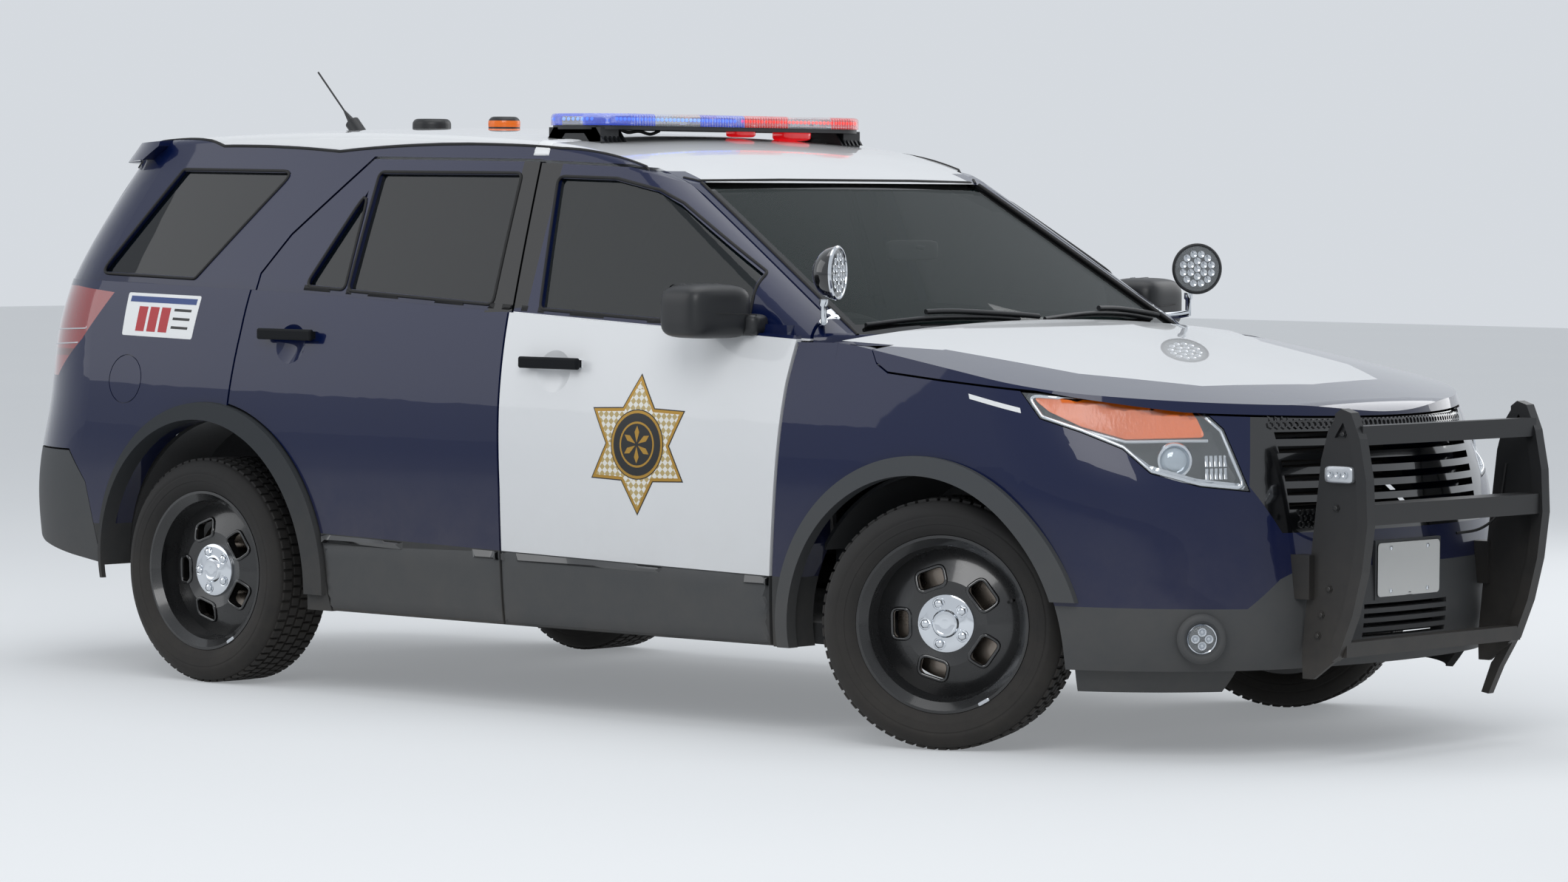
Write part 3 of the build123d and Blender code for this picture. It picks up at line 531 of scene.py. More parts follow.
def from_corner(u, v):
    """Distance along the right front corner's 45 degree plane, and height."""
    x, y = (u * math.sqrt(2) + CORNER_REACH) / 2, (u * math.sqrt(2) - CORNER_REACH) / 2
    return Vector((station(x), y * MM, v * MM)) + CORNER_OUT, -CORNER_OUT


class Skin:
    """The faces of some CAD nodes, met along one line of sight."""

    trees = {}

    def __init__(self, view, *nodes, reach=6):
        self.view, self.reach, self.last = view, reach, None
        if nodes not in Skin.trees:
            verts, faces = [], []
            for node in nodes:
                mesh = NODES[node].data
                start = len(verts)
                verts += [v.co.copy() for v in mesh.vertices]
                faces += [[start + i for i in p.vertices] for p in mesh.polygons]
            Skin.trees[nodes] = BVHTree.FromPolygons(verts, faces)
        self.tree = Skin.trees[nodes]

    def hit(self, u, v):
        """Where the line of sight meets the skin, or the skin's nearest point."""
        start, ray = self.view(u, v)
        place = self.tree.ray_cast(start, ray)[0]
        if place is None:
            depth = (self.last - start).dot(ray) if self.last else 2.0
            place = self.tree.find_nearest(start + ray * depth)[0]
        self.last = place
        return place

    def at(self, u, v):
        """The place on the skin and the way out of it, evened over a few millimetres."""
        ray = self.view(u, v)[1]
        middle = self.hit(u, v)
        sides = []
        for du, dv in ((1, 0), (-1, 0), (0, 1), (0, -1)):
            p = self.hit(u + du * self.reach, v + dv * self.reach)
            sides.append(middle if abs((p - middle).dot(ray)) > 2.5 * self.reach * MM else p)
        self.last = middle
        normal = (sides[0] - sides[1]).cross(sides[2] - sides[3])
        if normal.length < 1e-12:
            return middle, -ray
        normal.normalize()
        return middle, (-normal if normal.dot(ray) > 0 else normal)


def drape(points, skin):
    """Flat points of u, v and height in mm, laid on a skin."""
    made = []
    for u, v, h in points:
        place, out = skin.at(u, v)
        made.append(place + out * h * MM)
    return made


def inside_loop(points, loop):
    """Which of an array of points lie inside a closed outline."""
    x, y = points[:, 0], points[:, 1]
    found = np.zeros(len(points), bool)
    for (x0, y0), (x1, y1) in zip(loop, loop[1:] + loop[:1]):
        if y0 != y1:
            crosses = (y0 > y) != (y1 > y)
            found ^= crosses & (x < (x1 - x0) * (y - y0) / (y1 - y0) + x0)
    return found


def edge_distance(points, loops):
    """How far each point of an array lies from the outlines."""
    best = np.full(len(points), 1e9)
    for loop in loops:
        for a, b in zip(loop, loop[1:] + loop[:1]):
            a, b = np.array(a, float), np.array(b, float)
            span = max(((b - a) ** 2).sum(), 1e-9)
            t = np.clip(((points - a) @ (b - a)) / span, 0, 1)
            best = np.minimum(best, np.hypot(*(points - a - t[:, None] * (b - a)).T))
    return best


def patch(name, skin, outline, material, body, lift=1.0, sunk=0.6, step=20, holes=(), edge=0.0, shape=None, **more):
    """A closed thin shell over an outline, laid on a skin; its top is drawn down towards its edge."""
    loops = [list(outline)] + [list(h) for h in holes]
    flat, links = [], []
    for loop in loops:
        first = len(flat)
        for a, b in zip(loop, loop[1:] + loop[:1]):
            parts = max(1, round(math.dist(a, b) / step))
            flat += [(a[0] + (b[0] - a[0]) * k / parts, a[1] + (b[1] - a[1]) * k / parts) for k in range(parts)]
        count = len(flat) - first
        links += [(first + k, first + (k + 1) % count) for k in range(count)]
    rim = np.array(loops[0])
    low, high = rim.min(0), rim.max(0)
    us = np.arange(low[0] + step / 2, high[0], step)
    vs = np.arange(low[1] + step / 2, high[1], step)
    grid = np.array([(u + (step / 2 if j % 2 else 0), v) for j, v in enumerate(vs) for u in us]).reshape(-1, 2)
    if len(grid):
        keep = inside_loop(grid, loops[0]) & (edge_distance(grid, loops) > 0.4 * step)
        for hole in loops[1:]:
            keep &= ~inside_loop(grid, hole)
        flat += [tuple(p) for p in grid[keep]]
    if edge and edge < step:
        ring = [p for loop, sign in zip(loops, [-1] + [1] * len(holes)) for p in grown(loop, sign * edge)]
        flat += ring
    made = delaunay_2d_cdt([Vector(p) for p in flat], links, [], 1, 1e-5)
    points = np.array([(v.x, v.y) for v in made[0]])
    faces = [list(f) for f in made[2]]
    if holes:
        centres = np.array([points[f].mean(0) for f in faces])
        bad = np.zeros(len(faces), bool)
        for hole in loops[1:]:
            bad |= inside_loop(centres, hole)
        faces = [f for f, b in zip(faces, bad) if not b]
    away = edge_distance(points, loops)
    tops, lows = [], []
    for (u, v), d in zip(points, away):
        place, out = skin.at(u, v)
        height = shape(u, v, d) if shape else lift
        if edge:
            height = -sunk * 0.5 + (height + sunk * 0.5) * math.sqrt(1 - (1 - min(d / edge, 1.0)) ** 2)
        tops.append(place + out * height * MM)
        lows.append(place - out * sunk * MM if not shape else place + out * (height - sunk) * MM)
    n = len(tops)
    ends = {}
    for face in faces:
        for a, b in zip(face, face[1:] + face[:1]):
            ends[a, b] = True
    walls = [[a, b, b + n, a + n] for a, b in ends if (b, a) not in ends]
    return add_piece(name, tops + lows, faces + [[i + n for i in reversed(f)] for f in faces] + walls, material, body,
                     **more)


# ---- geometry node trees for what repeats or follows a path


def shape_tree(name, inputs):
    """A geometry tree with named inputs, the sockets that give them, and its output node."""
    tree = bpy.data.node_groups.new(name, "GeometryNodeTree")
    tree.interface.new_socket("Geometry", in_out="INPUT", socket_type="NodeSocketGeometry")
    for label, kind, value in inputs + [("Material", "Material", None)]:
        socket = tree.interface.new_socket(label, in_out="INPUT", socket_type="NodeSocket" + kind)
        if value is not None:
            socket.default_value = value
    tree.interface.new_socket("Geometry", in_out="OUTPUT", socket_type="NodeSocketGeometry")
    return tree, tree.nodes.new("NodeGroupInput").outputs, tree.nodes.new("NodeGroupOutput")


def close_tree(tree, given, end, geometry):
    """Ends a tree in real meshes with their material."""
    real = add(tree, "GeometryNodeRealizeInstances", {0: geometry})
    done = add(tree, "GeometryNodeSetMaterial", {"Geometry": real, "Material": given["Material"]})
    tree.links.new(done.outputs[0], end.inputs[0])
    return tree


def ring_tree():
    """Copies of the mesh turned about z: nuts, tread blocks, diodes."""
    tree, given, end = shape_tree("copies_round_an_axis", [("Count", "Int", 5), ("First Angle", "Float", 0.0)])
    line = add(tree, "GeometryNodeMeshLine", {"Count": given["Count"], "Offset": (0.0, 0.0, 0.0)})
    turn = add(tree, MATH, {0: 2 * math.pi, 1: given["Count"]}, operation="DIVIDE")
    angle = add(tree, MATH, {0: add(tree, "GeometryNodeInputIndex"), 1: turn, 2: given["First Angle"]},
                operation="MULTIPLY_ADD")
    spin = add(tree, "ShaderNodeCombineXYZ", {2: angle})
    copies = add(tree, "GeometryNodeInstanceOnPoints", {"Points": line, "Instance": given["Geometry"],
                                                        "Rotation": spin})
    return close_tree(tree, given, end, copies)


def row_tree():
    """Copies of the mesh in rows and columns, every other row shifted: cells, diodes, ribs, fins."""
    tree, given, end = shape_tree("copies_in_rows", [("Columns", "Int", 4), ("Rows", "Int", 1),
                                                     ("Column Pitch", "Float", 0.02),
                                                     ("Row Pitch", "Float", 0.02), ("Shift", "Float", 0.0)])
    count = add(tree, MATH, {0: given["Columns"], 1: given["Rows"]}, operation="MULTIPLY")
    line = add(tree, "GeometryNodeMeshLine", {"Count": count, "Offset": (0.0, 0.0, 0.0)})
    index = add(tree, "GeometryNodeInputIndex")
    column = add(tree, MATH, {0: index, 1: given["Columns"]}, operation="MODULO")
    row = add(tree, MATH, {0: add(tree, MATH, {0: index, 1: given["Columns"]}, operation="DIVIDE")}, operation="FLOOR")
    odd = add(tree, MATH, {0: add(tree, MATH, {0: row, 1: 2.0}, operation="MODULO"), 1: given["Shift"]},
              operation="MULTIPLY")
    u = add(tree, MATH, {0: column, 1: given["Column Pitch"], 2: odd}, operation="MULTIPLY_ADD")
    v = add(tree, MATH, {0: row, 1: given["Row Pitch"]}, operation="MULTIPLY")
    spot = add(tree, "ShaderNodeCombineXYZ", {0: u, 1: v})
    placed = add(tree, "GeometryNodeSetPosition", {"Geometry": line, "Offset": spot})
    copies = add(tree, "GeometryNodeInstanceOnPoints", {"Points": placed, "Instance": given["Geometry"]})
    return close_tree(tree, given, end, copies)


def path_tree():
    """A round tube along the mesh's edges: seals, wires, wiper arms, lips."""
    tree, given, end = shape_tree("tube_along_a_path", [("Radius", "Float", 0.004), ("Sides", "Int", 8)])
    curve = add(tree, "GeometryNodeMeshToCurve", {0: given["Geometry"]})
    ring = add(tree, "GeometryNodeCurvePrimitiveCircle", {"Resolution": given["Sides"], "Radius": given["Radius"]})
    tube = add(tree, "GeometryNodeCurveToMesh", {"Curve": curve, "Profile Curve": ring, "Fill Caps": True})
    return close_tree(tree, given, end, tube)


def grow(tree, part, material, edges=False, **values):
    """The points and faces that a geometry tree makes from points with faces or edges."""
    seed = bpy.data.meshes.new("seed")
    seed.from_pydata([tuple(v) for v in part[0]], part[1] if edges else [], [] if edges else part[1])
    obj = bpy.data.objects.new("seed", seed)
    bpy.context.scene.collection.objects.link(obj)
    modifier = obj.modifiers.new("shape", "NODES")
    modifier.node_group = tree
    values["Material"] = material
    for item in tree.interface.items_tree:
        if item.in_out == "INPUT" and item.name.replace(" ", "_") in values:
            modifier[item.identifier] = values[item.name.replace(" ", "_")]
    graph = bpy.context.evaluated_depsgraph_get()
    made = bpy.data.meshes.new_from_object(obj.evaluated_get(graph), depsgraph=graph)
    obj.modifiers.clear()
    bpy.data.objects.remove(obj)
    if not made.polygons:
        raise RuntimeError(f"{tree.name} made nothing")
    return [v.co.copy() for v in made.vertices], [list(p.vertices) for p in made.polygons]


def tube(points, radius, material, closed=False, sides=8):
    """The points and faces of a round tube along a line of places; the radius is in mm."""
    links = [(k, k + 1) for k in range(len(points) - 1)] + ([(len(points) - 1, 0)] if closed else [])
    return grow(SHAPES["path"], (points, links), material, edges=True, Radius=radius * MM, Sides=sides)


def spaced(path, step, closed=False):
    """A flat path with its runs divided to a step in mm."""
    ends = list(path) + ([path[0]] if closed else [])
    made = []
    for a, b in zip(ends, ends[1:]):
        parts = max(1, round(math.dist(a, b) / step))
        made += [(a[0] + (b[0] - a[0]) * k / parts, a[1] + (b[1] - a[1]) * k / parts) for k in range(parts)]
    return made if closed else made + [tuple(ends[-1])]


def bead(name, skin, path, radius, material, body, closed=False, rise=0.0, step=25, **more):
    """A round bead, such as a rubber seal, along a path laid on a skin."""
    places = drape([(u, v, rise) for u, v in spaced(path, step, closed)], skin)
    return add_piece(name, *tube(places, radius, material, closed), material, body, angle=60, **more)


SHAPES = {}
FINISHES = {}


# ---- outlines shared with the source, in millimetres

BELT = ((-1030, 1147), (-1561, 1173))
CLADDING = ((-530, 452), (-2300, 488))
FRONT_WINDOW = [(-1535, 1567), (-1312, 1562), (-1136, 1529), (-1047, 1492), (-856, 1383), (-706, 1298), (-700, 1165),
                (-1032, 1168), (-1480, 1189)]
REAR_WINDOW = [(-1684, 1198), (-1697, 1576), (-2288, 1577), (-2296, 1228)]
REAR_WINDOW_BACK = [(-2322, 1230), (-2322, 1526), (-2487, 1238)]
QUARTER_WINDOW = [(-2695, 1578), (-3215, 1582), (-3491, 1262), (-3024, 1252)]
LAMP = [(-425, 997), (-200, 985), (60, 958), (125, 900), (194, 730), (50, 745), (-87, 781), (-160, 845), (-268, 888),
        (-375, 923)]
AMBER = [(-398, 984), (-200, 972), (44, 946), (74, 880), (-150, 876), (-268, 908), (-352, 946)]
BADGE = (-1025, 805)


def top_line(x, line):
    """The height of a straight line at a station."""
    (x0, z0), (x1, z1) = line
    return z0 + (x - x0) * (z1 - z0) / (x1 - x0)


def make_shapes():
    """Builds the geometry trees once."""
    SHAPES.update(ring=ring_tree(), row=row_tree(), path=path_tree())


def make_finishes():
    """Builds every shared material once, from the panel's colours."""
    look = bpy.context.scene.suv_colours
    navy, white = list(look.navy), list(look.white)
    grey, black = list(look.cladding), list(look.trim)
    made = FINISHES
    # Sprayed basecoat under clear lacquer: deep even colour with a hard gloss, faint panel waves and low road dust.
    paint = dict(Coat_Weight=1.0, Coat_Roughness=0.02, Coat_IOR=1.38, Specular_IOR_Level=0.1)
    lacquer = dict(wave=(160, 0.16), grain=(7, 0.004))
    door_white = outside(either(above(BELT), cabin_side))
    grip = both(within([(-1495, 1008), (-1247, 1008), (-1247, 1052), (-1495, 1052)]), wider(966))
    pillar = within([(-1640, 1180), (-1537, 1188), (-1537, 1700), (-1640, 1700)])
    trim = (cabin_side, CABIN_TRIM, 0.75, 0.0)
    low = outside(above(CLADDING))
    # Two-tone door: white below the belt, navy frame, black pillar film and grip, moulded trim inside.
    made["front_door"] = finish("two_tone_front_door_lacquer", navy, 0.32, dust=0.25, **lacquer, **paint, zones=[
        (door_white, white, 0.36, 1.0), (pillar, PILLAR_FILM, 0.2, 1.0), (low, grey, 0.62, 0.0),
        (grip, black, 0.45, 0.0), trim])
    grip = both(within([(-2617, 1065), (-2369, 1065), (-2369, 1109), (-2617, 1109)]), wider(944))
    pillar = within([(-1690, 1170), (-1570, 1176), (-1570, 1700), (-1695, 1700)])
    # Navy door with the same black pillar film, grip, grey sill and trim.
    made["rear_door"] = finish("navy_rear_door_lacquer", navy, 0.32, dust=0.35, **lacquer, **paint, zones=[
        (pillar, PILLAR_FILM, 0.2, 1.0), (low, grey, 0.62, 0.0), (grip, black, 0.45, 0.0), trim])
    roof_top = within([(-3560, 0), (-1040, 0), (-1040, 640), (-1180, 722), (-1561, 733), (-2500, 726), (-3050, 690),
                       (-3560, 600)], plan=True)
    flare = both(in_circle((-2838, 353), 517.5), within([(-3500, 240), (-2250, 240), (-2250, 1000), (-3500, 1000)]),
                 wider(900))
    roof_edge = both(roof_top, higher(1590))
    sill = outside(above(((-530, 452), (-3300, 470))))
    # Body side: navy quarter with white roof edge, moulded grey wheel flare and sill, trim inside.
    made["side"] = finish("navy_body_side_lacquer", navy, 0.32, dust=0.3, **lacquer, **paint, zones=[
        (roof_edge, white, 0.36, 1.0), (sill, grey, 0.62, 0.0), (flare, grey, 0.62, 0.0), trim])
    hood_white = either(within([(-330, 0), (640, 0), (612, 200), (568, 423), (436, 536), (309, 644), (-330, 800)],
                               plan=True),
                        within([(-330, 0), (-86, 0), (-86, 754), (-196, 853), (-330, 960)], plan=True))
    # Hood skin: white field on a navy margin, primer grey below.
    made["hood"] = finish("two_tone_hood_lacquer", navy, 0.3, **lacquer, **paint, zones=[
        (hood_white, white, 0.34, 1.0), (facing_down(-0.2), PRIMER_GREY, 0.7, 0.0)])
    # Roof skin in white with a woven grey lining on its lower face.
    made["roof"] = finish("white_roof_lacquer", white, 0.36, drift=0.02, **lacquer, **paint, zones=[
        (facing_down(-0.2), ROOF_LINING, 0.95, 0.0)])
    # Fender: the navy lacquer down to the grey sill line, with road dust low down.
    made["fender"] = finish("navy_fender_lacquer", navy, 0.32, dust=0.3, **lacquer, **paint,
                            zones=[(low, grey, 0.62, 0.0)])
    # Liftgate and front face: navy all over, with a thin film of dust.
    made["gate"] = finish("navy_liftgate_lacquer", navy, 0.32, dust=0.2, **lacquer, **paint)
    # Mould-in-colour polypropylene: matt mid grey with a fine leather grain and a film of road dust.
    made["cladding"] = finish("grained_grey_polypropylene", grey, 0.62, grain=(1.6, 0.05), wave=(90, 0.1), drift=0.1,
                              dust=0.22)
    # Smooth black polypropylene with a slight sheen, for grips, mirrors and housings.
    made["trim"] = finish("satin_black_polypropylene", black, 0.42, grain=(1.2, 0.02), drift=0.12)
    # Piano-black acrylic, for grille bars and pillar covers: near mirror gloss.
    made["gloss"] = finish("gloss_black_acrylic", "#08090b", 0.12, wave=(60, 0.02), Coat_Weight=1.0,
                           Coat_Roughness=0.02)
    # Extruded EPDM rubber: dead black with a soft broad highlight.
    made["rubber"] = finish("black_epdm_rubber", "#0c0c0d", 0.68, grain=(2.0, 0.05), drift=0.2)
    # Powder-coated tube steel: even satin black with a fine orange-peel texture and scuffs.
    made["powder"] = finish("powder_coated_black_steel", "#17181a", 0.46, grain=(1.5, 0.04), wave=(25, 0.05),
                            drift=0.18, dust=0.25)
    # Tyre compound: warm matt black, dusty at the tread and finely ribbed on the wall.
    made["tyre"] = finish("vulcanised_tyre_rubber", "#121213", 0.8, grain=(2.2, 0.12), wave=(30, 0.2), drift=0.28,
                          dust=0.14)
    # Chromed steel: bright and clean, slightly blue, with faint swirl marks.
    made["chrome"] = finish("polished_chrome_plate", "#d6dadf", 0.09, wave=(20, 0.01), drift=0.03, Metallic=1.0)
    # Vacuum-metallised reflector behind a lens: bright silver with flutes.
    made["reflector"] = finish("metallised_reflector", "#c9cdd2", 0.16, grain=(4, 0.15), drift=0.05, Metallic=1.0)
    # Satin silver paint on lamp bezels.
    made["bezel"] = finish("satin_silver_bezel_paint", "#c3c7cc", 0.3, wave=(40, 0.02), Metallic=0.6, Coat_Weight=0.5)
    # Cast iron and welded steel under the car: rough, brown-grey, patchy.
    made["iron"] = finish("rusty_cast_iron", "#3b3632", 0.75, grain=(3, 0.2), wave=(40, 0.3), drift=0.35, dust=0.4,
                          Metallic=0.4)
    # Cast aluminium engine and hub carriers: dull grey with a sandy grain.
    made["casting"] = finish("sand_cast_aluminium", "#7b7d7f", 0.5, grain=(1.5, 0.1), drift=0.25, dust=0.4,
                             Metallic=0.8)
    # Needle-felt carpet over the floor: dark, soft and uneven.
    made["carpet"] = finish("needle_felt_carpet", "#1d1e20", 0.98, grain=(2.5, 0.8), drift=0.25, Sheen_Weight=0.3)
    # Slush-moulded soft dashboard skin: charcoal with a coarse grain.
    made["dash"] = finish("slush_moulded_dash_skin", "#232427", 0.7, grain=(2.0, 0.12), drift=0.15)
    # Wrapped leather on the steering wheel: dark grey, slightly polished by hands.
    made["leather"] = finish("wrapped_black_leather", "#1c1c1e", 0.48, grain=(1.8, 0.1), drift=0.2)
    # A band along the lens, painted darker red as painted shade for a groove.
    painted_groove_shade = within([(-4200, 985), (-3300, 1000), (-3300, 1022), (-4200, 1007)])
    # Acrylic lamp lens in red with moulded inner steps, and a band along it painted darker red as the shade of a
    # groove.
    made["red_lens"] = finish("red_acrylic_lens", "#8c0d14", 0.14, grain=(9, 0.25), drift=0.2, Coat_Weight=1.0,
                              Coat_Roughness=0.02, zones=[(painted_groove_shade, "#5a0a0e", 0.12, 1.0)])
    # Amber acrylic with vertical flutes, and a faint orange glow of its own that is painted light, not a lit lamp.
    made["amber"] = finish("amber_acrylic_lens", "#e2660a", 0.14, streak=(9, (1.0, 1.0, 0.05), 1.4), grain=(14, 1.0),
                           drift=0.45, Emission_Color=linear("#ff7a08"), Emission_Strength=0.12)
    # Black moulded lamp housing: deep, slightly satin, so the chrome stands out in it.
    made["housing"] = finish("moulded_lamp_housing", "#0b0c0e", 0.3, wave=(30, 0.05), Specular_IOR_Level=0.35)
    # Clear hard-coated polycarbonate: almost all see-through, with a sharp gloss.
    made["clear"] = glazing("hard_coated_clear_polycarbonate", "#dfe6ea", 0.1)
    # Privacy glass dyed through: near black, with a mirror's gloss.
    made["smoke"] = glazing("rear_privacy_glass", "#070d12", 0.93)
    # Tempered glass with tinted film: the seats show only as shapes.
    made["door_glass"] = glazing("green_tinted_door_glass", "#0a1316", 0.86)
    # Laminated glass with a green cast: the cabin shows through, inside a black printed edge.
    made["shield"] = glazing("laminated_windshield_glass", "#1c2b29", 0.36, border=windshield_border)
    # White vinyl film, cut to shape and pressed on: flat white with a slight sheen.
    made["vinyl"] = finish("white_cut_vinyl", "#eef0f1", 0.38, drift=0.03, grain=(3, 0.01))
    # The same film in the bars' and outlines' colours.
    made["vinyl_red"] = finish("red_cut_vinyl", "#b3202a", 0.38, drift=0.05)
    made["vinyl_blue"] = finish("blue_cut_vinyl", "#1f3f7e", 0.38, drift=0.05)
    made["vinyl_black"] = finish("black_cut_vinyl", "#101214", 0.36, drift=0.08)
    # Printed gold film: dull yellow metal with a fine grain.
    made["gold"] = finish("printed_gold_film", "#b28a3c", 0.36, grain=(3, 0.05), drift=0.14, Metallic=0.55)
    # Reflective sheeting on the blank plates.
    made["plate"] = finish("white_reflective_sheeting", "#e9e9e6", 0.4, grain=(2, 0.02), drift=0.02)


def above(line):
    """Above a straight line given by two places of station and height."""
    (x0, z0), (x1, z1) = line
    slope = (z1 - z0) / (x1 - x0)

    def mask(tree, x, y, z):
        level = add(tree, MATH, {0: x, 1: slope, 2: z0 * MM - slope * station(x0)}, operation="MULTIPLY_ADD")
        return add(tree, MATH, {0: z, 1: level}, operation="GREATER_THAN").outputs[0]

    return mask


def windshield_border(tree, x, y, z):
    """The black printed edge of the windshield, from its width and height."""
    lean, ground_half_width, foot, head = -0.2635, 1.0155, 1.158, 1.54
    wide = add(tree, MATH, {0: y}, operation="ABSOLUTE")
    limit = add(tree, MATH, {0: z, 1: lean, 2: ground_half_width}, operation="MULTIPLY_ADD")
    side = add(tree, MATH, {0: wide, 1: limit}, operation="GREATER_THAN")
    low = add(tree, MATH, {0: z, 1: foot}, operation="LESS_THAN")
    high = add(tree, MATH, {0: z, 1: head}, operation="GREATER_THAN")
    ends = add(tree, MATH, {0: low, 1: high}, operation="MAXIMUM")
    return add(tree, MATH, {0: side, 1: ends}, operation="MAXIMUM").outputs[0]


def light_bar_lens():
    """Polycarbonate lens strip: clear, with blue ends on the right half and red on the left."""
    segment = 0.2033
    material, tree, out, coords, (_, y, _) = new_material("segmented_polycarbonate_lens")
    away = add(tree, MATH, {0: y}, operation="ABSOLUTE")
    band = add(tree, MATH, {0: away, 1: 1 / segment}, operation="MULTIPLY")
    odd = add(tree, MATH, {0: add(tree, MATH, {0: band}, operation="FLOOR"), 1: 2.0}, operation="MODULO")
    left = add(tree, MATH, {0: y, 1: 0.0}, operation="GREATER_THAN")
    hue = add(tree, "ShaderNodeMix", {0: left, 6: linear("#3f63ff"), 7: linear("#ff2a2a")}, data_type="RGBA").outputs[2]
    tone = add(tree, "ShaderNodeMix", {0: odd, 6: hue, 7: linear("#e8eef4")}, data_type="RGBA").outputs[2]
    ribs = add(tree, "ShaderNodeTexWave", {"Vector": coords, "Scale": 26.0, "Distortion": 0.0}, bands_direction="Y")
    bump = add(tree, "ShaderNodeBump", {"Height": ribs, "Strength": 1.0, "Distance": 0.0012})
    alpha = add(tree, "ShaderNodeMapRange", {0: odd, 3: 0.55, 4: 0.25})
    shader = add(tree, "ShaderNodeBsdfPrincipled", {"Base Color": tone, "Roughness": 0.06, "Alpha": alpha,
                                                    "Normal": bump, "Coat Weight": 1.0, "Coat Roughness": 0.02})
    tree.links.new(shader.outputs[0], out.inputs[0])
    return material


def wheel_matrix(side, steered):
    """Puts a right wheel's piece, drawn round z with its outer face up, at a corner; side is -1 right, 1 left."""
    upright = Matrix(((1, 0, 0, 0), (0, 0, -1, 0), (0, 1, 0, 0), (0, 0, 0, 1)))
    mirror = Matrix.Scale(-1, 4, (0, 1, 0)) if side > 0 else Matrix.Identity(4)
    x = station(0) if steered else station(-WHEELBASE / MM)
    placed = shift(x, side * TRACK_HALF, HUB_Z) @ mirror @ upright
    if steered:
        pin = Vector((station(0), side * KINGPIN_Y, 0))
        placed = Matrix.Translation(pin) @ turn_about("Z", REST_STEER) @ Matrix.Translation(-pin) @ placed
    return placed


def wheel_enamel(side, steered):
    """Black stove enamel on a pressed steel wheel; the brake disc behind is bare turned steel."""
    hand, end = "left" if side > 0 else "right", "f" if steered else "r"
    material, tree, out, coords, _ = new_material(f"stove_enamelled_steel_{hand}_{end}")
    place = wheel_matrix(side, steered)
    middle, axis = place.translation, (place.to_3x3() @ Vector((0, 0, 1))).normalized()
    arm = add(tree, "ShaderNodeVectorMath", {0: coords, 1: middle}, operation="SUBTRACT")
    along = add(tree, "ShaderNodeVectorMath", {0: arm, 1: axis}, operation="DOT_PRODUCT").outputs["Value"]
    away = add(tree, "ShaderNodeVectorMath", {0: arm}, operation="LENGTH").outputs["Value"]
    inner = add(tree, MATH, {0: along, 1: DISC_FACE}, operation="LESS_THAN")
    near = add(tree, MATH, {0: away, 1: DISC_RADIUS}, operation="LESS_THAN")
    disc_zone = add(tree, MATH, {0: inner, 1: near}, operation="MULTIPLY")
    rings = add(tree, "ShaderNodeTexNoise", {"Vector": add(tree, "ShaderNodeCombineXYZ", {0: away}), "Scale": 900.0})
    patchy = add(tree, "ShaderNodeTexNoise", {"Vector": coords, "Scale": 11.0, "Detail": 6.0, "Roughness": 0.65})
    steel = add(tree, "ShaderNodeMix", {0: rings, 6: linear("#6d6259"), 7: linear("#a59a8e")},
                data_type="RGBA").outputs[2]
    black = add(tree, "ShaderNodeMix", {0: patchy, 6: linear("#08090a"), 7: linear("#1d1d1e")},
                data_type="RGBA").outputs[2]
    tone = add(tree, "ShaderNodeMix", {0: disc_zone, 6: black, 7: steel}, data_type="RGBA").outputs[2]
    rough = add(tree, "ShaderNodeMapRange", {0: patchy, 3: 0.16, 4: 0.4})
    bump = add(tree, "ShaderNodeBump", {"Height": patchy, "Strength": 1.0, "Distance": 0.0004})
    shader = add(tree, "ShaderNodeBsdfPrincipled", {"Base Color": tone, "Metallic": disc_zone, "Roughness": rough,
                                                    "Normal": bump, "Coat Weight": 0.6, "Coat Roughness": 0.08})
    tree.links.new(shader.outputs[0], out.inputs[0])
    return material


def woven_cloth(name, warp, weft, pitch):
    """Woven seat cloth: crossed threads at a pitch in mm, drawn coarse enough to show, with a soft sheen."""
    material, tree, out, coords, _ = new_material(name)
    thread = {"Vector": coords, "Scale": WAVE_BAND / (pitch * MM), "Distortion": 0.4}
    across, along = (add(tree, "ShaderNodeTexWave", thread, bands_direction=way).outputs["Fac"] for way in "YX")
    cross = add(tree, MATH, {0: across, 1: along}, operation="MULTIPLY")
    cloud = add(tree, "ShaderNodeTexNoise", {"Vector": coords, "Scale": 12.0, "Detail": 5.0})
    mixed = add(tree, MATH, {0: cross, 1: cloud}, operation="ADD")
    tone = add(tree, "ShaderNodeMix", {0: mixed, 6: linear(warp), 7: linear(weft)}, data_type="RGBA").outputs[2]
    bump = add(tree, "ShaderNodeBump", {"Height": cross, "Strength": 1.0, "Distance": 0.0006})
    shader = add(tree, "ShaderNodeBsdfPrincipled", {"Base Color": tone, "Roughness": 0.92, "Normal": bump,
                                                    "Sheen Weight": 0.4, "Sheen Roughness": 0.5})
    tree.links.new(shader.outputs[0], out.inputs[0])
    return material


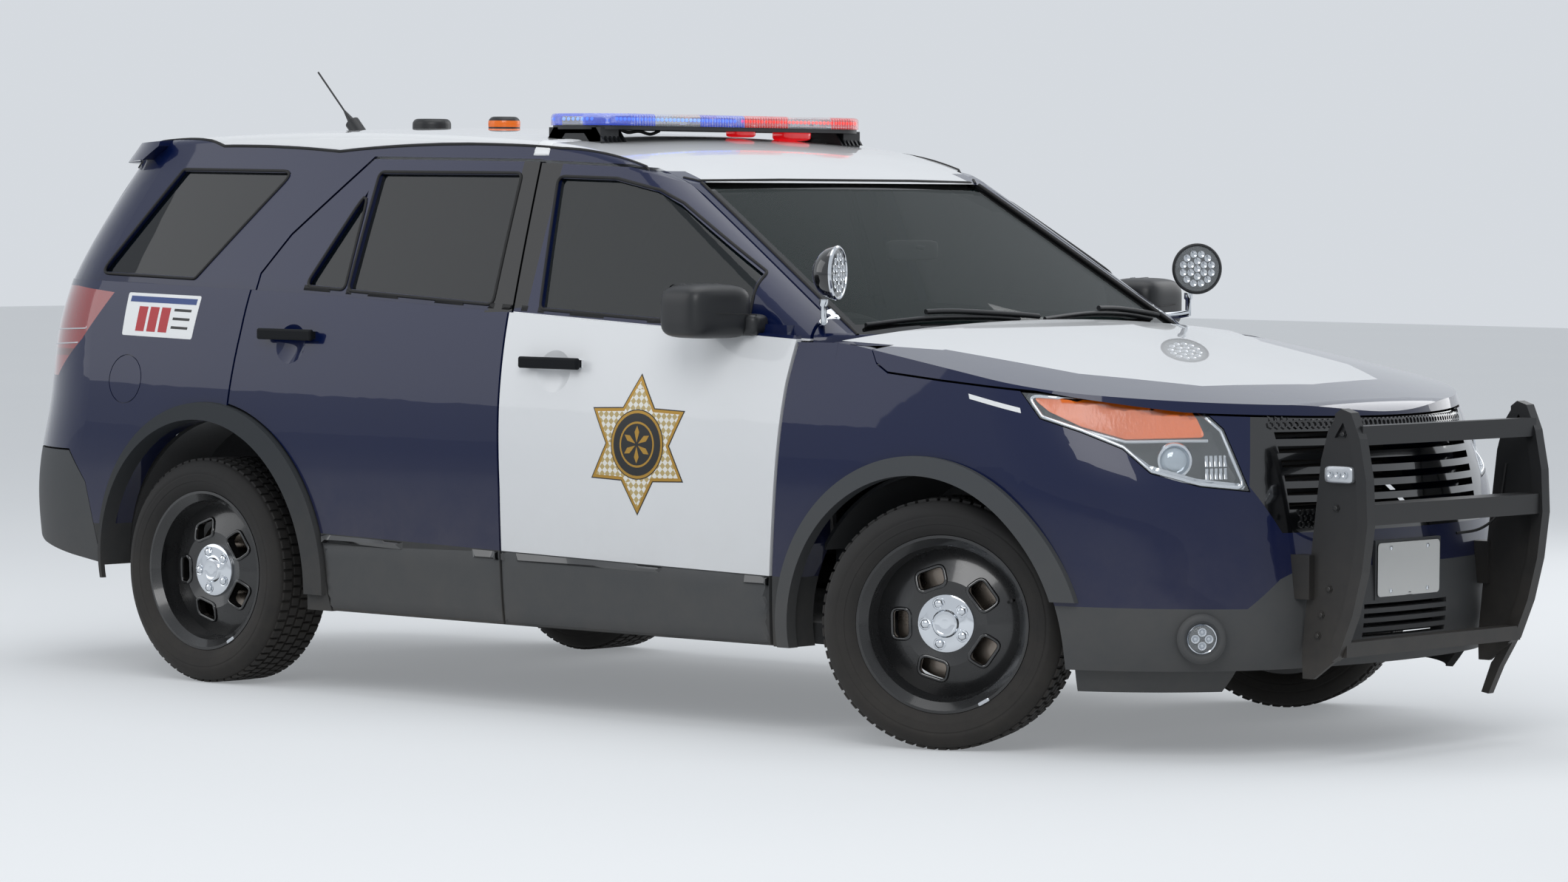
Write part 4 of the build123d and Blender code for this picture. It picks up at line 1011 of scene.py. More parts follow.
def floor_paint():
    """Matt pale studio floor that takes a soft shadow; its own light is seen only by eye and in gloss."""
    material, tree, out, coords, _ = new_material("pale_matt_studio_floor")
    cloud = add(tree, "ShaderNodeTexNoise", {"Vector": coords, "Scale": 0.4, "Detail": 3.0})
    tone = add(tree, "ShaderNodeMix", {0: cloud, 6: linear("#c6c8ca"), 7: linear("#cacccd")},
               data_type="RGBA").outputs[2]
    path = tree.nodes.new("ShaderNodeLightPath")
    seen = add(tree, MATH, {0: path.outputs["Is Camera Ray"], 1: path.outputs["Is Glossy Ray"]}, operation="MAXIMUM")
    lift = add(tree, MATH, {0: seen, 1: 0.3}, operation="MULTIPLY")
    shader = add(tree, "ShaderNodeBsdfPrincipled", {"Base Color": tone, "Roughness": 0.9,
                                                    "Emission Color": linear("#e4e8ec"), "Emission Strength": lift})
    tree.links.new(shader.outputs[0], out.inputs[0])
    return material


def glow(name, colour, strength, roughness=0.2):
    """A lit diode or glowing lens: a coloured face with its own light, uneven like moulded plastic."""
    material, tree, out, coords, _ = new_material(name)
    cloud = add(tree, "ShaderNodeTexNoise", {"Vector": coords, "Scale": 60.0, "Detail": 3.0})
    tone = add(tree, "ShaderNodeMix", {0: cloud, 6: [v * 0.8 for v in linear(colour)[:3]] + [1.0], 7: linear(colour)},
               data_type="RGBA").outputs[2]
    shader = add(tree, "ShaderNodeBsdfPrincipled", {"Base Color": tone, "Roughness": roughness, "Emission Color": tone,
                                                    "Emission Strength": strength, "Coat Weight": 1.0})
    tree.links.new(shader.outputs[0], out.inputs[0])
    return material


def printed_star_film():
    """Printed film on the star: a small gold and white check under gloss, like engraving from a distance."""
    material, tree, out, coords, _ = new_material("gold_on_white_printed_film")
    turned = add(tree, "ShaderNodeMapping", {"Vector": coords, "Rotation": (0, math.radians(45), 0)})
    check = add(tree, "ShaderNodeTexChecker", {"Vector": turned, "Color1": linear("#e9e7df"),
                                               "Color2": linear("#b9a36a"), "Scale": 70.0})
    cloud = add(tree, "ShaderNodeTexNoise", {"Vector": coords, "Scale": 40.0})
    rough = add(tree, "ShaderNodeMapRange", {0: cloud, 3: 0.3, 4: 0.45})
    shader = add(tree, "ShaderNodeBsdfPrincipled", {"Base Color": check, "Roughness": rough, "Coat Weight": 0.4})
    tree.links.new(shader.outputs[0], out.inputs[0])
    return material


def make_lamp_finishes():
    """Builds the materials of lamps, mirrors, cloth and the badge once."""
    f = FINISHES
    # Red polycarbonate pod, lit from inside.
    f["red_glow"] = glow("lit_red_polycarbonate", "#d01018", 0.8)
    # Epoxy diodes: small hard points of light in their own colour.
    f["red_diode"] = glow("red_diode_epoxy", "#ff3b30", 1.6)
    f["blue_diode"] = glow("blue_diode_epoxy", "#5b8cff", 1.6)
    # Moulded glass condenser, made opaque: hard gloss, and a bluish white that is a painted reflection, so it shows as
    # a bright ball in a dark lamp.
    f["projector"] = finish("moulded_condenser_glass", "#aebac4", 0.05, wave=(12, 0.2), drift=0.25, Metallic=0.3,
                            Coat_Weight=1.0, Coat_Roughness=0.01)
    # First-surface mirror glass.
    f["mirror"] = finish("silvered_mirror_glass", "#dfe4e6", 0.03, drift=0.02, Metallic=1.0)
    # Hard-wearing woven cloth: dark and matt, with a thread that is drawn coarse.
    f["cloth"] = woven_cloth("woven_seat_cloth", "#1c1e22", "#34373d", 3.0)
    # Printed vinyl behind the badge's ring.
    f["star_field"] = printed_star_film()


def dress(material, *names):
    """Gives CAD nodes a material."""
    for name in names:
        slots = NODES[name].data.materials
        slots.clear()
        slots.append(material)


def sides(name):
    """A node's name on both sides."""
    return [f"{name}_right", f"{name}_left"]


def plate_set(name, place, body):
    """A blank embossed plate with its frame and four bolts, facing along its own z."""
    f = FINISHES
    face = rounded([(-150, -74), (150, -74), (150, 74), (-150, 74)], 14)
    inner = grown(face, -4)
    n = len(face)
    levels = [(face, 0.0), (face, 1.0), (inner, 1.6), (grown(inner, -2), 1.0)]
    verts = [Vector((u, v, z)) * MM for loop, z in levels for u, v in loop]
    faces = [[r * n + k, r * n + (k + 1) % n, (r + 1) * n + (k + 1) % n,
              (r + 1) * n + k] for r in range(3) for k in range(n)]
    faces += [list(range(n))[::-1], list(range(3 * n, 4 * n))]
    add_piece(name, *moved((verts, faces), place), f["plate"], body)
    nut = lathe([(0, 0), (6.5, 0), (6.5, 2.4), (4.5, 3.6), (0, 3.8)], 6)
    bolts = grow(SHAPES["row"], nut, f["chrome"], Columns=2, Rows=2, Column_Pitch=0.178, Row_Pitch=0.118)
    add_piece(name + "_bolts", *moved(moved(bolts, shift(-0.089, -0.059, 0.001)), place), f["chrome"], body)


# ---- what the user can change


class SuvColours(bpy.types.PropertyGroup):
    """Colours of the finishes."""

    navy: FloatVectorProperty(name="Navy", description="Basecoat of the body", subtype="COLOR", size=4, min=0, max=1,
                              default=linear("#06143c"))
    white: FloatVectorProperty(name="White", description="Basecoat of the doors, roof and hood field", subtype="COLOR",
                               size=4, min=0, max=1, default=linear("#e4e6e8"))
    cladding: FloatVectorProperty(name="Cladding", description="Moulded flares, sills and lower bumpers",
                                  subtype="COLOR", size=4, min=0, max=1, default=linear("#3c3f42"))
    trim: FloatVectorProperty(name="Trim", description="Black mouldings, mirrors and grips", subtype="COLOR", size=4,
                              min=0, max=1, default=linear("#15171a"))


class SuvSizes(bpy.types.PropertyGroup):
    """Sizes of the added pieces."""

    tread_depth: FloatProperty(name="Tread depth", description="Height of the tread blocks", default=0.0075, min=0.001,
                               max=0.012, unit="LENGTH")
    tread_blocks: IntProperty(name="Tread blocks", description="Blocks round each tyre", default=68, min=40, max=90)
    seal: FloatProperty(name="Seal radius", description="Radius of the window seals", default=0.005, min=0.002,
                        max=0.01, unit="LENGTH")
    cell: FloatProperty(name="Grille cell", description="Pitch of the grille's honeycomb", default=0.019, min=0.01,
                        max=0.04, unit="LENGTH")
    cladding: FloatProperty(name="Cladding stand", description="How far the door cladding stands out", default=0.006,
                            min=0.001, max=0.02, unit="LENGTH")
    floor: FloatProperty(name="Floor size", description="Side of the plain floor", default=80.0, min=20.0, max=200.0,
                         unit="LENGTH")


class SuvStep:
    """What every step shares."""

    bl_options = {"REGISTER", "UNDO"}


class SUV_OT_view(SuvStep, bpy.types.Operator):
    """Sets the camera at the photograph's viewing angle"""

    bl_idname = "suv.view"
    bl_label = "Camera"

    def execute(self, context):
        yaw, pitch, roll = (math.radians(a) for a in PHOTO_TURNS)
        ahead = Vector((-math.sin(yaw) * math.cos(pitch), math.cos(yaw) * math.cos(pitch), math.sin(pitch)))
        right = Vector((math.cos(yaw), math.sin(yaw), 0))
        up = right.cross(ahead)
        level = math.cos(roll) * right + math.sin(roll) * up
        tall = -math.sin(roll) * right + math.cos(roll) * up
        lens = bpy.data.cameras.new("camera")
        lens.sensor_width, lens.lens, lens.clip_end = SENSOR_WIDTH, SENSOR_WIDTH * PHOTO_FOCAL / PHOTO_WIDTH, 300
        camera = bpy.data.objects.new("camera", lens)
        context.scene.collection.objects.link(camera)
        turn = Matrix((level, tall, -ahead)).transposed().to_4x4()
        camera.matrix_world = Matrix.Translation(PHOTO_PLACE) @ turn
        context.scene.camera = camera
        return {"FINISHED"}


class SUV_OT_sheet_metal(SuvStep, bpy.types.Operator):
    """Paints the body panels, mouldings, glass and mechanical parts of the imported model"""

    bl_idname = "suv.sheet_metal"
    bl_label = "Body finishes"

    def execute(self, context):
        f = FINISHES
        dress(f["front_door"], *sides("door_front"))
        dress(f["rear_door"], *sides("door_rear"))
        dress(f["side"], *sides("body_side"))
        dress(f["fender"], *sides("fender"))
        dress(f["hood"], "hood")
        dress(f["roof"], "roof_panel")
        dress(f["gate"], "liftgate", "bumper_front_upper")
        dress(f["cladding"], *sides("arch_flare"), "bumper_front_lower", "bumper_rear")
        dress(f["gloss"], "grille")
        dress(f["trim"], *sides("mirror"), *sides("wheel_liner"), "light_bar_base", "bulkhead", "roof_aerials")
        dress(f["powder"], "push_bumper")
        dress(f["gloss"], *sides("spotlight"))
        dress(f["smoke"], *sides("window_rear"), *sides("quarter_glass"), "liftgate_glass")
        dress(f["door_glass"], *sides("window_front"))
        dress(f["shield"], "windshield")
        dress(f["red_lens"], *sides("tail_lamp"))
        dress(f["clear"], *sides("headlamp"))
        dress(f["carpet"], "floor_pan")
        dress(f["dash"], "dashboard")
        dress(f["leather"], "steering_wheel")
        dress(f["casting"], "engine", *sides("knuckle"))
        dress(f["iron"], "front_cross_member", "rear_carrier")
        dress(light_bar_lens(), "light_bar_lens")
        for side, hand in ((-1, "right"), (1, "left")):
            for steered, end in ((True, "front"), (False, "rear")):
                dress(wheel_enamel(side, steered), f"wheel_{end}_{hand}")
                dress(f["tyre"], f"tyre_{end}_{hand}")
        return {"FINISHED"}


class SUV_OT_cladding(SuvStep, bpy.types.Operator):
    """Adds the grained lower door cladding with its gloss ridge, and the roof and window seals"""

    bl_idname = "suv.cladding"
    bl_label = "Cladding and seals"

    def execute(self, context):
        f, sizes = FINISHES, context.scene.suv_sizes
        stand, seal = sizes.cladding / MM, sizes.seal / MM
        front, rear = Skin(from_right, "door_front_right"), Skin(from_right, "door_rear_right")
        low = 262

        def top(x):
            return top_line(x, CLADDING)

        shape = [(-541, low), (-533, top(-533) - 3), (-1566, top(-1566) - 3), (-1566, low)]
        patch("cladding_front_right", front, rounded(shape, 8), f["cladding"], "door_front_right", lift=stand, edge=7,
              step=24, pair=True)
        arch_x, arch_z, arch_radius = -2838, 353, 528
        turns = [math.radians(a) for a in range(-9, 16, 4)]
        ring = [(arch_x + arch_radius * math.cos(t), arch_z + arch_radius * math.sin(t)) for t in turns]
        shape = [(-1578, low), (-1578, top(-1578) - 3)]
        shape += [(x, z) for x, z in ring[::-1] if z < top(x) - 3] + [(ring[0][0], low)]
        patch("cladding_rear_right", rear, shape, f["cladding"], "door_rear_right", lift=stand, edge=7, step=24,
              pair=True)
        for name, skin, a, b, body in (("ridge_front_right", front, -536, -1564, "door_front_right"),
                                       ("ridge_rear_right", rear, -1580, -2322, "door_rear_right")):
            path = [(a, top(a) - 16), (b, top(b) - 16)]
            patch(name, skin, ribbon(path, 26), f["gloss"], body, lift=stand + 6, edge=4, step=18, pair=True)
        for name, skin, loop, body in (
            ("seal_front_window_right", front, FRONT_WINDOW, "door_front_right"),
            ("seal_rear_window_right", rear, REAR_WINDOW, "door_rear_right"),
            ("seal_rear_window_back_right", rear, REAR_WINDOW_BACK, "door_rear_right"),
            ("seal_quarter_window_right", Skin(from_right, "body_side_right"), QUARTER_WINDOW, "body"),
        ):
            bead(name, skin, rounded(grown(loop, seal + 1), 22), seal, f["rubber"], body, closed=True, pair=True)
        for end, skin, belt in (("front", front, [(-700, 1160), (-1032, 1160), (-1480, 1181), (-1560, 1185)]),
                                ("rear", rear, [(-1594, 1186), (-1684, 1190), (-2296, 1220), (-2500, 1229)])):
            patch(f"belt_{end}_right", skin, ribbon(belt, 17), f["rubber"], f"door_{end}_right", lift=5, edge=6,
                  step=14, pair=True)
        ditch = [(-1095, -640), (-1180, -722), (-1561, -735), (-2500, -728), (-3050, -692), (-3540, -604)]
        bead("roof_ditch_right", Skin(from_above, "body_side_right", "roof_panel"), ditch, 4.5, f["rubber"], "body",
             pair=True)
        shield = Skin(from_front, "windshield", "body_side_right", "roof_panel", reach=4)
        bead("windshield_seal_right", shield, [(-756, 1130), (-645, 1556)], 6, f["rubber"], "body", pair=True)
        bead("windshield_top_seal", shield, [(-640, 1562), (-300, 1566), (300, 1566), (640, 1562)], 5, f["rubber"],
             "body")
        return {"FINISHED"}


class SUV_OT_headlamps(SuvStep, bpy.types.Operator):
    """Builds each headlamp as a dark bowl with amber panel, projector and reflector behind a clear lens"""

    bl_idname = "suv.headlamps"
    bl_label = "Headlamps"

    def execute(self, context):
        f = FINISHES
        skin = Skin(from_corner, "headlamp_right")
        outline = grown(LAMP, -3)

        def bowl(u, v, away):
            """How deep the bowl lies, from the distance to its edge."""
            return -1.5 - 34 * min(1.0, away / 14) ** 0.6

        patch("lamp_bowl_right", skin, outline, f["housing"], "body", sunk=2.0, step=16, shape=bowl, pair=True,
              stands_for=("headlamp_right",))
        patch("lamp_lens_right", skin, outline, f["clear"], "body", lift=0.3, sunk=2.2, step=16, pair=True)
        rim = rounded(grown(LAMP, -9), 16)
        bead("lamp_rim_right", skin, rim, 5.5, f["chrome"], "body", closed=True, rise=-6, pair=True)
        # The amber panel's faint glow is painted light, not a lit lamp.
        patch("lamp_amber_right", skin, rounded(AMBER, 10), f["amber"], "body", lift=-9, sunk=14, edge=6, step=14,
              pair=True)
        divide = [(-268, 898), (-150, 868), (0, 870), (80, 870)]
        bead("lamp_divider_right", skin, divide, 5, f["bezel"], "body", rise=-8, pair=True)
        sweep = [(-268, 892), (-150, 845), (-90, 800), (40, 764), (168, 748)]
        patch("lamp_sweep_right", skin, ribbon(sweep, 14), f["reflector"], "body", lift=-12, sunk=16, edge=5, step=12,
              pair=True)
        place, out = skin.at(-16, 816)
        out = CORNER_OUT * 0.85 + out * 0.15
        base = Matrix.Translation(place - out * 30 * MM) @ out.to_track_quat("Z", "Y").to_matrix().to_4x4()
        ring = lathe([(28, 0), (46, 2), (50, 14), (47, 20), (41, 21), (38, 16), (34, 6), (28, 0)])
        add_piece("lamp_projector_ring_right", *moved(ring, base), f["chrome"], "body", pair=True)
        ball = lathe([(36, 3), (36, 8), (33, 14), (26, 19), (16, 22.5), (0, 24), (0, 3)], 40)
        # The condenser ball's bluish white is a painted reflection.
        add_piece("lamp_projector_right", *moved(ball, base), f["projector"], "body", pair=True)
        cell = grow(SHAPES["row"], block((9, 30, 5), 2.0, 0.7), f["reflector"], Columns=5, Rows=2, Column_Pitch=0.0135,
                    Row_Pitch=0.034)
        flat = [(p.x / MM + 78, p.y / MM + 785, p.z / MM - 18) for p in cell[0]]
        add_piece("lamp_reflector_right", drape(flat, skin), cell[1], f["reflector"], "body", pair=True)
        patch("lamp_lip_right", Skin(from_corner, "headlamp_right"), ribbon([(-60, 772), (60, 754), (182, 742)], 9),
              f["bezel"], "body", lift=-4, sunk=6, edge=4, step=12, pair=True)
        return {"FINISHED"}


class SUV_OT_front(SuvStep, bpy.types.Operator):
    """Adds the grille honeycomb, radiator, fog lamps, blank front plate and hood edge"""

    bl_idname = "suv.front"
    bl_label = "Grille, fog lamps and plate"

    def execute(self, context):
        f, cell = FINISHES, context.scene.suv_sizes.cell
        skin = Skin(from_front, "grille", "bumper_front_upper", reach=8)
        ring = hexagon(cell / MM * 0.56, cell / MM * 0.4, 5)
        for name, columns, rows, left, low in (("grille_cells_top", 48, 2, -455, 908),
                                               ("grille_cells_low", 44, 3, -415, 640)):
            part = grow(SHAPES["row"], ring, f["gloss"], Columns=columns, Rows=rows, Column_Pitch=cell,
                        Row_Pitch=cell * 0.86, Shift=cell / 2)
            flat = [(p.x / MM + left, p.y / MM + low, p.z / MM) for p in part[0]]
            add_piece(name, drape(flat, skin), part[1], f["gloss"], "body")
        edge = [(-480, 950), (-250, 960), (0, 963), (250, 960), (480, 950)]
        patch("hood_lip_trim", Skin(from_front, "bumper_front_upper", "grille", reach=5), ribbon(edge, 10), f["gloss"],
              "body", lift=2.0, edge=4, step=20)
        place, _ = Skin(from_corner, "bumper_front_lower").at(53, 338)
        base = Matrix.Translation(place) @ CORNER_OUT.to_track_quat("Z", "Y").to_matrix().to_4x4()
        cup = moved(lathe([(0, 1), (10, 1), (12, 8), (9, 8.5), (4, 3), (0, 2.5)], 12), shift(0.0185, 0, -0.001))
        for name, look, part in (
            ("bezel", "cladding", lathe([(66, -10), (68, -2), (64, 5), (56, 9), (49, 8), (44, 2), (41, -4), (38, -10),
                                         (66, -10)], 56)),
            ("rim", "chrome", lathe([(43, -6), (43, 1), (40, 3.5), (37, 1.5), (36, -6), (43, -6)], 48)),
            ("housing", "housing", lathe([(0, -4), (38, -4), (38, -1), (0, -0.5)], 40)),
            ("lens", "clear", lathe([(37, 0.5), (30, 5), (18, 8), (0, 9.5), (0, 8.3), (18, 6.8), (29, 4), (36, -0.5),
                                     (37, 0.5)], 40)),
            ("reflectors", "reflector", grow(SHAPES["ring"], cup, f["reflector"], Count=4)),
        ):
            add_piece(f"fog_{name}_right", *moved(part, base), f[look], "body", pair=True)
        core = moved(block((34, 880, 470), 4), place_at(560, 0, 0.640))
        fins = grow(SHAPES["row"], block((860, 7, 9), 2.0), f["trim"], Columns=1, Rows=30, Row_Pitch=0.0155)
        stand = place_at(579, 0, 0.415) @ FACING_AHEAD
        add_piece("radiator_core", *core, f["trim"], "body")
        add_piece("radiator_fins", *moved(fins, stand), f["iron"], "body")
        plate_set("front_plate", place_at(970.5, 0, 0.505) @ FACING_AHEAD, "body")
        return {"FINISHED"}


class SUV_OT_push_bumper(SuvStep, bpy.types.Operator):
    """Adds bolts, warning lamp and cable to the push bumper"""

    bl_idname = "suv.push_bumper"
    bl_label = "Push bumper"

    def execute(self, context):
        f = FINISHES
        face = place_at(0, -0.436, 0) @ turn_about("X", 90)
        nut = lathe([(0, 0), (11, 0), (11, 3), (8, 3), (8, 7), (6, 8.5), (0, 9)], 6)
        spots = [(1050, 891), (1075, 889), (985, 399), (974, 342), (1010, 470), (1030, 690)]
        nuts = gather(*[moved(nut, shift(x * MM, z * MM, 0)) for x, z in spots])
        add_piece("push_bumper_bolts_right", *moved(nuts, face), f["powder"], "body", pair=True)
        shell = moved(rounded_box((92, 46, 24), 0.35, 0, 6), shift(1.048, 0.782, 0.010))
        add_piece("push_bumper_lamp_right", *moved(shell, face), f["bezel"], "body", pair=True)
        eyes = grow(SHAPES["row"], lathe([(0, 0), (8, 0), (10, 5), (7, 5), (3, 2), (0, 1.5)], 14), f["reflector"],
                    Columns=3, Rows=1, Column_Pitch=0.024, Row_Pitch=0.02)
        add_piece("push_bumper_lamp_eyes_right", *moved(moved(eyes, shift(1.024, 0.782, 0.020)), face),
                  f["reflector"], "body", pair=True)
        wire = [Vector((station(x), y * MM, z * MM)) for x, y, z in (
            (1010, -420, 782), (1000, -415, 700), (1000, -400, 640), (985, -330, 600), (960, -250, 590))]
        add_piece("push_bumper_wire_right", *tube(smooth_path(wire), 4, f["rubber"]), f["rubber"], "body", pair=True,
                  angle=60)
        return {"FINISHED"}


class SUV_OT_wheels(SuvStep, bpy.types.Operator):
    """Builds treaded tyres, chrome caps with nuts, window lips and valves"""

    bl_idname = "suv.wheels"
    bl_label = "Tyres and wheel caps"

    def execute(self, context):
        f, sizes = FINISHES, context.scene.suv_sizes
        depth = sizes.tread_depth / MM
        wall = [(246.6, 99), (247.5, 103.5), (253, 107.5), (262, 113.5), (272, 117.8), (276, 118.2), (277.5, 119.8),
                (290, 121.6),
                (296, 121.9), (298, 120.6), (301, 120.5), (303, 121.3), (312, 119.2), (322, 114.5), (331, 107.5),
                (336, 103), (347.6 - depth, 96)]
        tread = [(348.0 - depth, 60), (348.2 - depth, 0), (348.0 - depth, -60)]
        profile = wall + tread + [(r, -a) for r, a in wall[::-1]] + [wall[0]]
        body = lathe(profile, 96)
        rows = []
        for across, wide, long, radius, turn in ((76, 33, 23, 347.3, 0), (38, 28, 24, 347.8, 2.2),
                                                 (0, 30, 25, 348, 0.9),
                                                 (-38, 28, 24, 347.8, 3.4), (-76, 33, 23, 347.3, 1.5)):
            lug = block((long, wide, depth + 2), 1.2)
            stand = shift((radius - (depth + 2) / 2) * MM, 0, across * MM) @ ON_THE_TREAD
            rows.append(moved(lug, turn_about("Z", turn) @ stand))
        lugs = grow(SHAPES["ring"], gather(*rows), f["tyre"], Count=sizes.tread_blocks)
        tyre = gather(body, lugs)
        cap = lathe([(81, 58), (81, 60.5), (79.5, 63.6), (75, 65.2), (61, 66.2), (46, 67.4), (39, 69.2), (36.8, 73),
                     (34.6, 75.6), (29, 76.6), (27, 75.4), (12, 75.6), (0, 76), (0, 58)], 64)
        nut = gather(lathe([(0, 60), (13, 60), (13, 71), (10.5, 74), (5, 76), (0, 76.5)], 6), lathe(
            [(13.5, 66), (17, 66), (17.6, 67.4), (16.6, 68.2), (13.8, 67.6), (13.5, 66)], 20))
        nuts = grow(SHAPES["ring"], moved(nut, shift(0.058, 0, 0)), f["chrome"], Count=5,
                    First_Angle=math.radians(WHEEL_FIRST_ANGLE))
        lips = []
        loop = rounded([(-28, -42), (28, -42), (28, 42), (-28, 42)], 20, 6)
        for k in range(5):
            turn = Matrix.Rotation(math.radians(WHEEL_FIRST_ANGLE + 72 * k), 3, "Z")
            places = []
            for u, v in loop:
                x = WHEEL_WINDOW_RADIUS + u
                high = np.interp(math.hypot(x, v), [84, 118, 160, 205], [58, 66, 48, 28])
                places.append(turn @ Vector((x, v, high + 0.5)) * MM)
            lips.append(tube(places, 5.5, f["gloss"], closed=True, sides=10))
        lips = gather(*lips)
        weight = rounded_box((34, 10, 6), 0.3, 0, 4)
        weight = moved(weight, turn_about("Z", 300) @ shift(0.2415, 0, 0.1055) @ turn_about("Z", 90))
        valve = moved(lathe([(0, 0), (4, 0), (4, 22), (5, 23), (5, 30), (0, 31)], 12),
                      turn_about("Z", 20) @ shift(0.196, 0, 0.03))
        for side, hand in ((-1, "right"), (1, "left")):
            for steered, end in ((True, "front"), (False, "rear")):
                place, tag = wheel_matrix(side, steered), f"{end}_{hand}"
                wheel = f"wheel_{tag}"
                add_piece(f"treaded_tyre_{tag}", *moved(tyre, place), f["tyre"], wheel, stands_for=(f"tyre_{tag}",))
                for name, part, look, angle in (("cap", cap, "chrome", 35), ("nuts", nuts, "chrome", 35),
                                                ("window_lips", lips, "gloss", 60), ("weight", weight, "bezel", 35),
                                                ("valve", valve, "rubber", 35)):
                    add_piece(f"wheel_{name}_{tag}", *moved(part, place), f[look], wheel, angle=angle)
        return {"FINISHED"}


class SUV_OT_mirrors(SuvStep, bpy.types.Operator):
    """Builds the rounded mirror shells on their feet, with glass, seam and top ribs"""

    bl_idname = "suv.mirrors"
    bl_label = "Door mirrors"

    def execute(self, context):
        f = FINISHES
        shell = moved(rounded_box((178, 230, 148), 0.42, 6, 14), place_at(-728, -1.0275, 1.192) @ turn_about("Z", -8))
        foot = moved(rounded_box((112, 86, 62), 0.45, 0, 8), place_at(-664, -0.925, 1.156) @ turn_about("Z", 10))
        add_piece("mirror_shell_right", *gather(shell, foot), f["trim"], "door_front_right", pair=True, angle=60,
                  stands_for=("mirror_right",))
        back = Skin(from_behind, "mirror_right", reach=4)
        glass = rounded([(-1108, 1142), (-948, 1142), (-944, 1244), (-1104, 1250)], 22)
        patch("mirror_glass_right", back, glass, f["mirror"], "door_front_right", lift=1.5, edge=5, step=14, pair=True)
        top = Skin(from_above, "mirror_right", reach=3)
        for k in range(4):
            x, y = -735 - 16 * k, -1000 - 30 * k
            path = [(x - 28, y), (x + 28, y + 6)]
            patch(f"mirror_rib_{k + 1}_right", top, ribbon(path, 7), f["trim"], "door_front_right", lift=2.5, edge=3,
                  step=6, pair=True)
        seam = [(-1136, 1192), (-1060, 1190), (-960, 1186), (-900, 1184)]
        bead("mirror_seam_right", Skin(from_front, "mirror_right", reach=3), seam, 1.2, f["rubber"], "door_front_right",
             rise=-0.2, step=10, pair=True)
        return {"FINISHED"}


class SUV_OT_spotlights(SuvStep, bpy.types.Operator):
    """Builds the two turned spotlight heads with diodes, rims, stems and chrome arms"""

    bl_idname = "suv.spotlights"
    bl_label = "Spotlights"

    def execute(self, context):
        f = FINISHES
        for side, hand, turn, x in ((-1, "right", 22.0, -400), (1, "left", -40.0, -414)):
            centre = Vector((station(x), side * 0.867, 1.306))
            place = Matrix.Translation(centre) @ turn_about("Z", turn) @ turn_about("Y", 90) @ shift(0, 0, 0.018)
            shell = lathe([(0, -66), (16, -68), (40, -60), (58, -46), (70, -26), (74.5, -8), (75, 0), (71, 2), (68, -4),
                           (0, -6)], 56)
            stem = lathe([(0, -64), (9, -64), (9, -16), (13, -12), (13, 6), (0, 6)], 20)
            stem = moved(stem, Matrix.Translation(centre + Vector((-0.026, 0, -0.080))))
            arm = tube(smooth_path([centre + Vector((u, -side * v, z)) * MM for u, v, z in (
                (-26, 0, -136), (-50, 24, -142), (-90, 62, -146), (-96, 76, -148))]), 11, f["chrome"], sides=14)
            add_piece(f"spotlight_head_{hand}", *moved(shell, place), f["gloss"], "body",
                      stands_for=(f"spotlight_{hand}",))
            add_piece(f"spotlight_stem_{hand}", *gather(stem, arm), f["chrome"], "body", angle=50)
            rim = lathe([(68, -2), (77, -2), (77.5, 3), (74, 6.5), (70, 6.5), (68, 2), (68, -2)], 56)
            back = lathe([(0, -1), (70, -1), (70, 1.2), (0, 1.2)], 48)
            cup = lathe([(0, 0.6), (6, 0.8), (9.5, 3.2), (10.8, 5.0), (9.8, 5.2), (5, 2.6), (0, 2.2)], 16)
            cups = []
            for ring, count, first in ((0.0, 1, 0), (0.0235, 6, 0), (0.0455, 12, 15)):
                one = moved(cup, shift(ring, 0, 0.001))
                cups.append(grow(SHAPES["ring"], one, f["reflector"], Count=count, First_Angle=math.radians(first)))
            glass = lathe([(0, 6.6), (50, 6.0), (69, 4.4), (69, 3.4), (50, 5.0), (0, 5.6)], 48)
            for name, look, part in (("rim", "trim" if side > 0 else "chrome", rim), ("reflector", "gloss", back),
                                     ("diodes", "reflector", gather(*cups)), ("glass", "clear", glass)):
                add_piece(f"spotlight_{name}_{hand}", *moved(part, place), f[look], "body")
        plate = rounded([(-512, 1180), (-470, 1172), (-440, 1210), (-470, 1262), (-505, 1250)], 16)
        patch("spotlight_plate_right", Skin(from_right, "body_side_right", reach=4), plate, f["chrome"], "body", lift=4,
              edge=3, step=10, pair=True)
        return {"FINISHED"}


